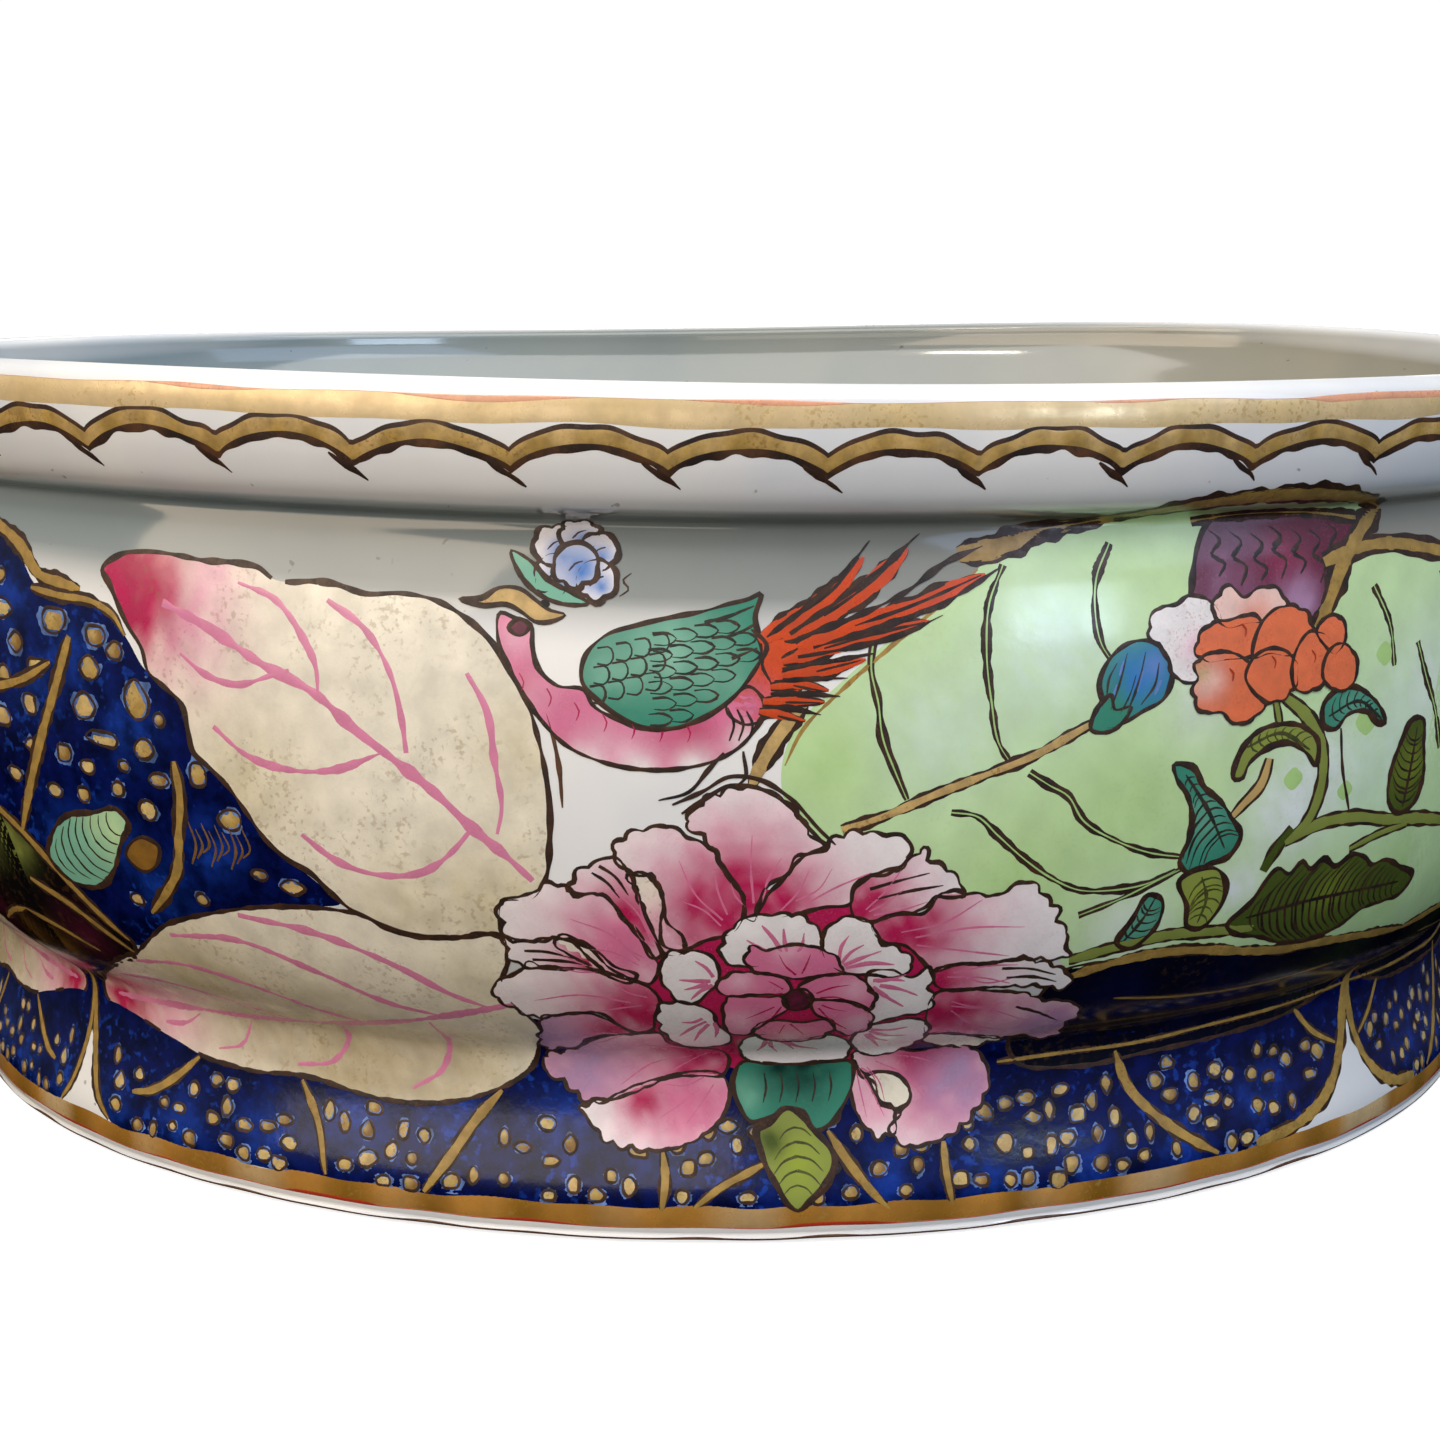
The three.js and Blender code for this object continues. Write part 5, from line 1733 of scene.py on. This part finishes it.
        for path in (
            (52.2, 86, 53.4, 89.5, 54.5, 93.6), (54.6, 85.4, 56.2, 89.5, 57.2, 93.6),
            (51.6, 88, 51.8, 90, 53, 92.3), (56.6, 86.4, 58.6, 89, 59.2, 92), (53.4, 85, 55, 88, 55.8, 90.5),
        ):
            canvas.stroke(Stroke(path, 0.45, Paint.TEAL_DARK, rank=2))
        # Painted highlights: short pale blue strokes on the bud.
        canvas.strokes((
            ((53.4, 90.6, 54, 92.6), 0.7), ((56, 88.2, 56.8, 91), 0.7), ((58.6, 87.6, 59.6, 89.6), 0.7),
            ((52.6, 88, 53, 89.4), 0.7),
        ), paint=Paint.HALO, finish=Finish.ROSE, rank=2)
        husk = (49.5, 83.4, 50.3, 86.4, 52.2, 88, 52.8, 86, 55.2, 86.2, 54.4, 84.6, 52.2, 83)
        canvas.patch(Patch(husk, Finish.GREEN, Paint.TEAL, (), 3, 0.6))
        for k, outline in enumerate(self.CORALS):
            middle = pairs(outline).mean(0)
            outline = tuple((middle + self.GROW * (pairs(outline) - middle)).ravel())
            base = (Paint.ROSE_WHITE, Paint.CORAL_PALE)[k] if k < 2 else Paint.CORAL
            blush = Paint.ROSE_PALE if k == 0 else Paint.CORAL
            washes = (Wash(middle[0] + 1.2, middle[1] - 1.4, 2.2, blush, 0.7),)
            if k == 3:
                washes = (Wash(66.5, 89, 2.6, Paint.CORAL_PALE, 0.95), Wash(65.6, 90, 1.4, Paint.LIME, 0.5))
            rank = 3 + 0.8 * k
            canvas.patch(Patch(outline, Finish.CORAL, base, washes, rank, 0.55, ruffle=0.5, core=(74, 92)))
        for u, v in ((72.6, 95.6), (77.5, 90.8), (70.6, 89.6), (84.4, 91)):
            fold = (u - 0.6, v + 0.9, u + 0.1, v, u - 0.1, v - 0.9)
            canvas.stroke(Stroke(fold, 0.4, Paint.IRON, Finish.CORAL, 10))
        for u, v, size in ((95, 80.5, 2.2), (82, 73.5, 1.7), (92, 70.5, 1.5), (98, 90, 1.8)):
            ring = (u - size, v, u, v + size, u + size, v, u, v - size)
            canvas.patch(Patch(ring, Finish.GREEN, Paint.GREEN_DEEP, (), 0.6, 0))


@dataclass
class Skirt(Motif):
    """Cobalt ground below the motifs, down to the foot band, and the navy leaf at the right."""

    name: str = "skirt"
    slot: str = "foot_porcelain"

    GROUND = (
        -109, 6.2, -80, 6.2, -40, 6.2, 0, 6.2, 40, 6.2, 80, 6.2, 94, 6.3, 102, 7.4, 108, 9.6, 112.5, 13,
        115.5, 18, 117.2, 24, 118.3, 30, 100, 29, 80, 28, 60, 30, 50, 32, 40, 34, 20, 34, 0, 36, -20, 38,
        -32, 40, -60, 34, -90, 33, -118.3, 32, -117.8, 24, -116.2, 16, -113, 9.5,
    )
    NAVY = (
        49.5, 47, 57, 48, 64, 48.8, 72, 48, 80, 46.5, 88, 45, 96, 44.8, 104, 44, 112, 43, 118.3, 42.2,
        118.3, 32, 112, 28, 104, 26, 90, 25, 72, 24.5, 58, 24, 48, 26, 46, 34, 47, 42,
    )

    def draw(self, canvas: Canvas) -> None:
        """Draws the ground, the navy leaf, gold veins and the scattered dots.

        Args:
            canvas: canvas that it is painted on.
        """
        spots = tuple(
            Wash(u, 13 + 5 * math.sin(u * 0.7), 5, Paint.COBALT_LIT, 0.45) for u in range(-110, 110, 17)
        )
        canvas.patch(Patch(self.GROUND, Finish.COBALT, Paint.COBALT, spots, 0, 0))
        canvas.patch(Patch(self.NAVY, Finish.NAVY, Paint.NAVY, (
            Wash(80, 36, 8, Paint.COBALT, 0.4), Wash(60, 40, 6, Paint.COBALT, 0.4),
            Wash(104, 36, 7, Paint.OLIVE, 0.3)), 0.5, 0.7))
        lines = (
            ((50, 45.6, 57, 47.6, 64, 48.4, 72, 47.8, 80, 46.2, 88, 44.9, 96, 44.6, 104, 43.8, 118, 42),
             1.7),
            ((45, 26, 55, 26.3, 70, 26.3, 85, 27, 100, 27.3, 118, 28), 0.8),
            ((-47, 6.5, -43, 12, -39, 18, -35, 22.5), 1.6), ((-9, 6, -8.5, 11, -9, 15), 1.4),
            ((-4, 6.5, 0, 9.5, 5, 12, 8, 13.5), 1.2), ((17, 17.5, 20, 13, 24, 8, 26.5, 5.5), 1.4),
            ((35.5, 15, 35.7, 10, 36.5, 5.5), 1.4), ((66, 25.5, 68, 20, 73, 14.5, 79, 10, 84, 7), 1.6),
            ((-91, 20.8, -96, 16.5, -101, 13.5, -105, 12.5), 1.4),
            ((-118, 31, -117.6, 24, -116, 16, -113, 9.5, -110, 6.8), 1.3),
            ((92, 7, 102, 8.2, 108, 10.4, 112.5, 13.8, 115.5, 18.5, 117.2, 25, 118, 32), 2.0),
            ((104, 26, 108.5, 21.5, 114, 18.5), 1.1), ((60, 40, 72, 38, 86, 37, 104, 38), 0.7),
            ((-70, 20.5, -66, 14, -64, 7), 1.2),
        )
        canvas.strokes(lines, paint=Paint.OCHRE, finish=Finish.OCHRE, rank=0, rim=0.4)
        dice = np.random.default_rng(29)
        veins = np.vstack([smooth_line(pairs(path), 1.0, False) for path, _ in lines])
        placed = np.empty((0, 2))
        for u in np.arange(-113, 116, 3.7):
            for v in (8.6, 11.6, 14.6, 17.6, 20.6, 23.4):
                at = np.array((u + dice.uniform(-1.5, 1.5), v + dice.uniform(-1.2, 1.2)))
                wide, high = dice.uniform(1.7, 3.3), dice.uniform(1.6, 3.0)
                clear = np.hypot(*(veins - at).T).min() > 2.1
                apart = not len(placed) or np.hypot(*(placed - at).T).min() > 3.0
                bare = (at[0] > 100 and at[1] < 7 + (at[0] - 98) * 0.75) or at[0] < -114
                high_left = at[1] > (18 if u < -28 else 20 if u < 48 else 22.5)
                if clear and apart and not bare and not high_left:
                    placed = np.vstack((placed, at))
                    CobaltLeaf.dot(canvas, float(at[0]), float(at[1]), wide, high)


# ---------------------------------------------------------------- bands round the whole bowl


@dataclass
class Band:
    """A sub-assembly of closed painted strips that run all round the bowl.

    Args:
        skin: surface that they are laid on.
        palette: material of each finish.
        slot: material slot.
        steps: steps round the bowl.
    """

    skin: BowlSkin
    palette: dict[Finish, bpy.types.Material]
    slot: str = "lip_porcelain"
    steps: int = 1680

    def strip(
        self, name: str, finish: Finish, low: np.ndarray, high: np.ndarray, top: float, paints: np.ndarray
    ) -> None:
        """Builds a closed painted strip round the bowl between two wavering edges.

        Args:
            name: piece's name.
            finish: enamel.
            low: lower edge at each step, mm up the profile.
            high: upper edge at each step.
            top: lift of its middle, mm.
            paints: linear colour of the whole strip, or of each step.
        """
        u = np.linspace(0, self.skin.round_mm, self.steps, endpoint=False)
        share = np.array((0, 0.12, 0.36, 0.64, 0.88, 1.0))
        lift = np.array((0.2, 0.8, 1.0, 1.0, 0.8, 0.2)) * top
        across = len(share)
        v = low[:, None] + (high - low)[:, None] * share
        at = self.skin.place(np.repeat(u, across).reshape(-1, across), v, np.tile(lift, (self.steps, 1)))
        faces = grid_faces(self.steps, across, True)
        tints = np.repeat(np.broadcast_to(paints, (self.steps, 3)), across, axis=0)
        Piece(name, self.slot, self.palette[finish]).build(at.reshape(-1, 3), faces, tints)

    def waver(self, size: float, amount: float, seed: int) -> np.ndarray:
        """Seeded unevenness along the closed band: a sum of whole waves round it.

        Args:
            size: size of the waves, mm.
            amount: height of the waves, mm.
            seed: seed.

        Returns:
            One value per step.
        """
        dice = np.random.default_rng(seed)
        s = np.linspace(0, 2 * np.pi, self.steps, endpoint=False)[:, None]
        turns = np.round(self.skin.round_mm / size * dice.uniform(0.5, 1.6, 9))
        return amount * np.sin(turns * s + dice.uniform(0, 2 * np.pi, 9)).sum(1) / 3.0


@dataclass
class LipBorder(Band):
    """Gilded rim band, ochre swags with dark edges, and their ticks, all round the lip.

    Args:
        swags: number of swags round the lip.
        valley: height of the swags' lower ends up the profile, mm.
        rise: how far a swag's lower edge rises at its middle, mm.
        ribbon: width of the swag ribbon, mm.
    """

    swags: int = 42
    valley: float = 123.5
    rise: float = 3.3
    ribbon: float = 2.6

    def build(self) -> None:
        """Builds the swags with their dark edges, the gilded band with its red trace, and the ticks."""
        around = self.skin.round_mm
        dice = np.random.default_rng(5)
        ends = -7.0 + around / self.swags * np.arange(self.swags + 1)
        ends[:-1] += dice.uniform(-1.2, 1.2, self.swags)
        ends[-1] = ends[0] + around
        u = np.linspace(0, around, self.steps, endpoint=False)
        at = np.mod(u - ends[0], around) + ends[0]
        k = np.clip(np.searchsorted(ends, at, side="right") - 1, 0, self.swags - 1)
        t = (at - ends[k]) / (ends[k + 1] - ends[k])
        tall = dice.uniform(0.85, 1.12, self.swags)[k]
        low = self.valley + self.rise * tall * np.abs(np.sin(np.pi * t)) ** 0.75 + self.waver(14, 0.12, 3)
        wide = self.ribbon + self.waver(9, 0.2, 4)
        thin = np.clip(0.45 + self.waver(12, 0.35, 6), 0, 0.9)[:, None]
        ink = mixed(Paint.INK, Paint.INK_THIN, thin)
        tone = np.clip(0.4 + self.waver(7, 0.4, 7), 0, 1)[:, None]
        ochre = mixed(Paint.OCHRE, Paint.TAN, tone)
        lower = low - 0.5 - self.waver(5, 0.2, 8)
        self.strip("lip_swag_edge", Finish.INK, lower, low + wide + 0.35, 0.03, ink)
        self.strip("lip_swag_ribbon", Finish.OCHRE, low + 0.35, low + wide - 0.2, 0.05, ochre)
        worn = np.clip(0.35 + self.waver(22, 0.35, 9), 0, 1)[:, None]
        gilt = mixed(Paint.GILT, Paint.GOLD_WORN, worn)
        low_edge = 129.5 + self.waver(30, 0.18, 10)
        high_edge = 132.9 + self.waver(40, 0.16, 12)
        self.strip("lip_gilt_band", Finish.GILT, low_edge, high_edge, 0.03, gilt)
        trace = np.clip(self.waver(60, 0.7, 13), 0.03, 0.6)
        low_trace, high_trace = high_edge - 1.5 * trace, high_edge + 0.3 * trace
        red = np.array(linear(Paint.PEACH))
        self.strip("lip_iron_red_trace", Finish.CORAL, low_trace, high_trace, 0.045, red)
        self.ticks(ends[:-1], dice)

    def ticks(self, ends: np.ndarray, dice: np.random.Generator) -> None:
        """Builds the brush ticks that run on below the swags where they meet.

        Args:
            ends: where the swags meet, mm round the lip.
            dice: source of their uneven lengths.
        """
        canvas = Canvas()
        for end in ends:
            flick = float(dice.uniform(0.9, 2.0))
            path = (end - 3.2, 125.0, end - 1.4, 123.6, end + 0.2, 122.6, end + flick, 122.2 - 0.5 * flick)
            canvas.stroke(Stroke(path, 1.0, Paint.INK, rank=0, taper=(0.3, 0.2)))
        at, lift, tint, tris = canvas.merged(Finish.INK)
        points = self.skin.place(at[:, 0], at[:, 1], lift)
        Piece("lip_ticks", self.slot, self.palette[Finish.INK]).build(points, tris, tint)


@dataclass
class FootBorder(Band):
    """Gilded band round the foot, with iron-red traces and a thin dark line under it."""

    slot: str = "foot_porcelain"

    def build(self) -> None:
        """Builds the band and its lines."""
        worn = np.clip(0.35 + self.waver(18, 0.4, 21), 0, 1)[:, None]
        pale = np.clip(self.waver(34, 0.7, 27) - 0.1, 0, 0.8)[:, None]
        gilt = mixed(mixed(Paint.GOLD_OCHRE, Paint.GOLD_DARK, worn), Paint.GILT, pale)
        low = 3.3 + self.waver(26, 0.15, 22)
        high = 6.6 + self.waver(20, 0.2, 23)
        self.strip("foot_gilt_band", Finish.GILT, low, high, 0.045, gilt)
        trace = np.clip(self.waver(40, 0.6, 24), 0.04, 0.5)
        red = np.array(linear(Paint.IRON))
        self.strip("foot_iron_red_trace", Finish.CORAL, low - 0.1, low + 1.2 * trace, 0.055, red)
        ink = np.array(linear(Paint.INK_THIN))
        self.strip("foot_dark_line", Finish.INK, low - 2.0, low - 1.6, 0.03, ink)


# ---------------------------------------------------------------- glazed bodies


@dataclass
class GlazedBodies:
    """The four glazed porcelain bodies and the wiped ground ring they stand on.

    Args:
        skin: shape of the bowl.
        around: steps round the oval.
    """

    skin: BowlSkin
    around: int = 600

    def revolve(
        self,
        name: str,
        slot: str,
        node: str,
        loop: np.ndarray,
        material: bpy.types.Material,
        on_axis: bool = False,
    ) -> None:
        """Carries a closed profile round the oval and closes it.

        Args:
            name: piece's name.
            slot: material slot.
            node: CAD node it stands for, or "" for none.
            loop: profile as rows of radius and height, outside first going up.
            material: its finish.
            on_axis: True if the profile's two ends lie on the middle axis.
        """
        turn = np.linspace(0, 2 * np.pi, self.around, endpoint=False)[:, None]
        ring = loop[1:-1] if on_axis else loop
        n = len(ring)
        z = np.broadcast_to(ring[None, :, 1], (self.around, n))
        points = self.skin.oval(ring[None, :, 0], z, turn).reshape(-1, 3)
        faces = grid_faces(self.around, n, True)
        a = np.arange(self.around)
        b = (a + 1) % self.around
        if on_axis:
            low = np.stack([np.full_like(a, len(points)), b * n, a * n], axis=1)
            high = np.stack([np.full_like(a, len(points) + 1), a * n + n - 1, b * n + n - 1], axis=1)
            faces = np.vstack((faces[:, (0, 1, 2)], faces[:, (0, 2, 3)], low, high))
            points = np.vstack((points, ((0, 0, loop[0, 1] * MM), (0, 0, loop[-1, 1] * MM))))
        else:
            last = np.stack([a * n + n - 1, b * n + n - 1, b * n, a * n], axis=1)
            faces = np.vstack((faces, last))
        piece = Piece(name, slot, material, (node,) if node else ())
        made = piece.build(points, faces, self.tint(points))
        made.data.set_sharp_from_angle(angle=math.radians(50))

    def tint(self, points: np.ndarray) -> np.ndarray:
        """Glaze tone of each point: white outside, and inside the bowl a painted grey-green shade under the
        rim, bluer towards one end and warmer towards the other as painted reflections, and paler lower down.

        Args:
            points: points in metres.

        Returns:
            Linear colour factors, one row per point.
        """
        skin = self.skin
        x, y, z = (points / MM).T
        ring = np.hypot(x, y * skin.rim / (skin.rim - skin.stretch))
        inside = np.clip((skin.rim - 4.6 - ring) / 1.5, 0, 1)
        inside = inside * np.clip((z - 33) / 1.5, 0, 1)
        side = np.clip(x / skin.rim, -1, 1)[:, None]
        # Painted shade inside: darkest just under the rim, with a painted cool reflection towards the left
        # end and a painted warm one towards the right.
        cool, warm = np.array((0.26, 0.34, 0.38)), np.array((0.38, 0.35, 0.27))
        middle = np.array((0.26, 0.285, 0.265))
        darkening = middle + np.where(side < 0, -side * (cool - middle), side * (warm - middle))
        below = np.clip((104 - z) / 36, 0, 1)[:, None]
        darkening = darkening + below * (0.74 - darkening)
        return 1 + inside[:, None] * (darkening - 1)

    def outer(self, low: float, high: float) -> np.ndarray:
        """The outside profile between two heights up it, denser near the creases.

        Args:
            low: start, mm up the profile.
            high: end.

        Returns:
            Rows of radius and height.
        """
        skin = self.skin
        at = np.arange(low, high, 0.25)
        crease = np.min(np.abs(at[:, None] - np.array((2.0, *skin.CREASES, 133.5))), axis=1)
        keep = (crease < 3.5) | (np.arange(len(at)) % 5 == 0)
        at = np.append(at[keep], high)
        return np.stack([np.interp(at, skin.v, skin.outside[:, k]) for k in (0, 1)], axis=1)

    def build(self) -> None:
        """Builds foot, wall, well, lip and ground ring."""
        skin = self.skin
        r = skin.rim
        # Clear glaze over white paste: bluish white with a wet highlight and a few pin-holes.
        clear = Shader("glazed_white_porcelain").glaze(Glaze("glazed_white_porcelain"))
        # The same glaze where it pooled in the well: greyer and glassier.
        well = Shader("pooled_well_glaze").glaze(Glaze("pooled_well_glaze", "#E4E6E6", "#D8DDE0", 0.08, 0.6))
        # Unglazed ground ring: matt, sandy and a little stained.
        biscuit = Glaze("biscuit_porcelain", "#D9D2C2", "#BFB49E", 0.75, 0.0, 0.1, 0.8)
        bare = Shader("biscuit_porcelain").glaze(biscuit)
        # The profile's height grows all the way up it, apart from the foot's turn and the crest.
        waist = float(np.interp(skin.WAIST, skin.outside[:440, 1], skin.v[:440]))
        groove = float(np.interp(skin.top - skin.GROOVE, skin.outside[:-20, 1], skin.v[:-20]))
        inner = skin.inside[::4]
        split = int(np.argmin(np.abs(inner[:, 1] - (skin.top - skin.THROAT))))
        foot_in = BowlSkin.curve((r - 23, 29.2), (r - 18.5, 0.9), (0.05, 0.5), (0.8, 0.8), 24)
        foot = np.vstack((self.outer(1.6, waist), ((r - 20, 28.6),), foot_in))
        self.revolve("glazed_foot", "foot_porcelain", "foot_skirt", foot, clear)
        ledge = ((r - 33.2, 28.4), (r - 22, 28.1))
        wall = np.vstack((self.outer(waist, groove), inner[split:], ledge))
        self.revolve("glazed_wall", "wall_porcelain", "bowl_wall", wall, clear)
        lip = np.vstack((self.outer(groove, float(skin.v[-1])), inner[1 : split + 1]))
        self.revolve("glazed_lip", "lip_porcelain", "rim_lip", lip, clear)
        across = np.linspace(0, r - 33.4, 30)
        top = np.stack([across[::-1], 34.0 - 0.3 * (1 - (across[::-1] / across[-1]) ** 2)], axis=1)
        under = np.stack([across[:-1], np.full(29, 28.2)], axis=1)
        plate = np.vstack((under, ((r - 33.6, 28.2),), top))
        self.revolve("glazed_well", "floor_porcelain", "bowl_floor", plate, well, True)
        # The ground ring's section is a squared-off round: cos and sin, each to the power 0.6.
        turn = np.linspace(0, 2 * np.pi, 29)[:-1]
        out = np.sign(np.cos(turn)) * np.abs(np.cos(turn)) ** 0.6
        up = np.sign(np.sin(turn)) * np.abs(np.sin(turn)) ** 0.6
        ring = np.stack([r - 16.2 + 2.75 * out, 0.62 + 0.6 * up], axis=1)
        self.revolve("biscuit_foot_rim", "foot_porcelain", "", ring, bare)


# ---------------------------------------------------------------- studio


@dataclass(frozen=True)
class Softbox:
    """An area light.

    Args:
        name: object's name.
        place: where it stands, m.
        target: the point that it faces, m.
        size: width and height, m.
        power: power, W.
        tint: colour, sRGB hex.
    """

    name: str
    place: Flat
    target: Flat
    size: tuple[float, float]
    power: float
    tint: str


@dataclass
class Studio:
    """Pale sweep, soft lights and the camera.

    Args:
        distance: camera's distance in front of the bowl's middle, m.
        height: camera's height, m.
        tilt: how far it looks down, degrees.
        lens: focal length, mm.
        boxes: the lights.
    """

    distance: float = 0.332
    height: float = 0.1376
    tilt: float = 14.2
    lens: float = 45.0
    boxes: tuple[Softbox, ...] = (
        Softbox("overhead_softbox", (0.0, -0.52, 1.10), (0, 0, 0.05), (1.6, 0.6), 8.6, "#FFFDFA"),
        Softbox("window_light", (0.70, -0.98, 0.27), (0, 0, 0.10), (0.24, 0.30), 1.8, "#CFE6FF"),
        Softbox("warm_key", (-0.95, -0.95, 0.66), (-0.03, -0.05, 0.09), (1.1, 0.8), 8.6, "#FFE6C8"),
        Softbox("cool_fill", (0.95, -0.85, 0.90), (0, 0, 0.09), (0.9, 0.7), 3.8, "#BCD4FF"),
        Softbox("ceiling_lamp", (-0.39, -0.60, 0.955), (0.05, 0.10, 0.10), (0.16, 0.05), 0.6, "#FFF4E2"),
        Softbox("front_fill", (-0.50, -1.10, 0.15), (0, 0, 0.09), (1.2, 0.35), 1.8, "#FFF3E4"),
        Softbox("back_light", (0.2, 1.15, 0.60), (0, 0, 0.08), (1.4, 0.7), 9.0, "#FFFFFF"),
    )

    def build(self) -> None:
        """Builds the sweep, the lights, the sky and the camera."""
        edge = np.linspace(-6.0, 6.0, 25)
        x, y = np.meshgrid(edge, edge, indexing="ij")
        points = np.stack([x, y, np.full_like(x, -0.0002)], axis=-1).reshape(-1, 3)
        mesh = bpy.data.meshes.new("paper_sweep")
        mesh.from_pydata(points.tolist(), [], grid_faces(25, 25, False).tolist())
        mesh.update()
        paper = Shader("matt_white_paper")
        grain = paper.noise(3.0, 3.0, 0.6)
        tone = paper.blend(grain, rgba("#FAFAF9"), rgba("#F4F4F3"))
        body = paper.add(
            "BsdfPrincipled",
            Base_Color=tone,
            Roughness=0.9,
            Specular_IOR_Level=0.1,
            Emission_Color=(1, 1, 1, 1),
            Emission_Strength=0.70,
        )
        paper.add("OutputMaterial", Surface=body.outputs[0])
        mesh.materials.append(paper.material)
        floor = bpy.data.objects.new("paper_sweep", mesh)
        bpy.context.scene.collection.objects.link(floor)
        floor.visible_diffuse = False
        floor.visible_glossy = False
        for box in self.boxes:
            lamp = bpy.data.lights.new(box.name, "AREA")
            lamp.shape = "RECTANGLE"
            lamp.size, lamp.size_y = box.size
            lamp.energy = box.power
            lamp.color = linear(box.tint)
            made = bpy.data.objects.new(box.name, lamp)
            made.location = box.place
            aim = Vector(box.target) - Vector(box.place)
            made.rotation_euler = aim.to_track_quat("-Z", "Y").to_euler()
            bpy.context.scene.collection.objects.link(made)
        self.sky()
        camera = bpy.data.cameras.new("camera")
        camera.lens = self.lens
        camera.sensor_width = 36.0
        camera.clip_start = 0.01
        eye = bpy.data.objects.new("camera", camera)
        eye.location = (0.0, -self.distance, self.height)
        eye.rotation_euler = (math.radians(90 - self.tilt), 0.0, 0.0)
        bpy.context.scene.collection.objects.link(eye)
        bpy.context.scene.camera = eye
        bpy.context.scene.view_settings.view_transform = "Standard"
        bpy.context.scene.view_settings.look = "None"

    @staticmethod
    def sky() -> None:
        """White behind the bowl, and a softer grey room for what the glaze reflects."""
        world = bpy.data.worlds.new("studio")
        bpy.context.scene.world = world
        world.use_nodes = True
        tree = world.node_tree
        tree.nodes.clear()
        way = add_node(tree, "TexCoord").outputs["Generated"]
        high = add_node(tree, "SeparateXYZ", Vector=way).outputs["Z"]
        glow = add_node(tree, "MapRange", Value=high, From_Min=-0.3, From_Max=0.9, To_Min=0.0, To_Max=0.5)
        room = add_node(tree, "Background", Color=rgba("#EEF2F6"), Strength=glow.outputs[0])
        seen = add_node(tree, "Background", Color=(1, 1, 1, 1), Strength=1.05)
        ray = add_node(tree, "LightPath").outputs["Is Camera Ray"]
        mix = add_node(tree, "MixShader", i0=ray, i1=room.outputs[0], i2=seen.outputs[0])
        add_node(tree, "OutputWorld", Surface=mix.outputs[0])


def main() -> None:
    """Builds the bowl, paints it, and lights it."""
    logging.basicConfig(level=logging.INFO, format="%(message)s")
    low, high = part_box("rim_lip")
    length = (high[0] - low[0]) / MM
    width = (high[1] - low[1]) / MM
    skin = BowlSkin(rim=length / 2, stretch=(length - width) / 2, top=high[2] / MM)
    GlazedBodies(skin).build()
    palette = {finish: Shader(finish.value.title).enamel(finish.value) for finish in Finish}
    half = Canvas.HALF_WIDTH
    quarter = skin.round_mm / 4
    squeeze = (quarter - half) / half
    panels = (
        Panel(0.0, 1.0, False),
        Panel(quarter, squeeze, True),
        Panel(2 * quarter, 1.0, False),
        Panel(3 * quarter, squeeze, True),
    )
    for motif in (Skirt, CobaltLeaf, GreenLeaf, CreamLeaves, Peony, Songbird, Sprigs):
        motif(skin, panels).build(palette)
    LipBorder(skin, palette).build()
    FootBorder(skin, palette).build()
    Studio().build()


if __name__ == "__main__":
    main()
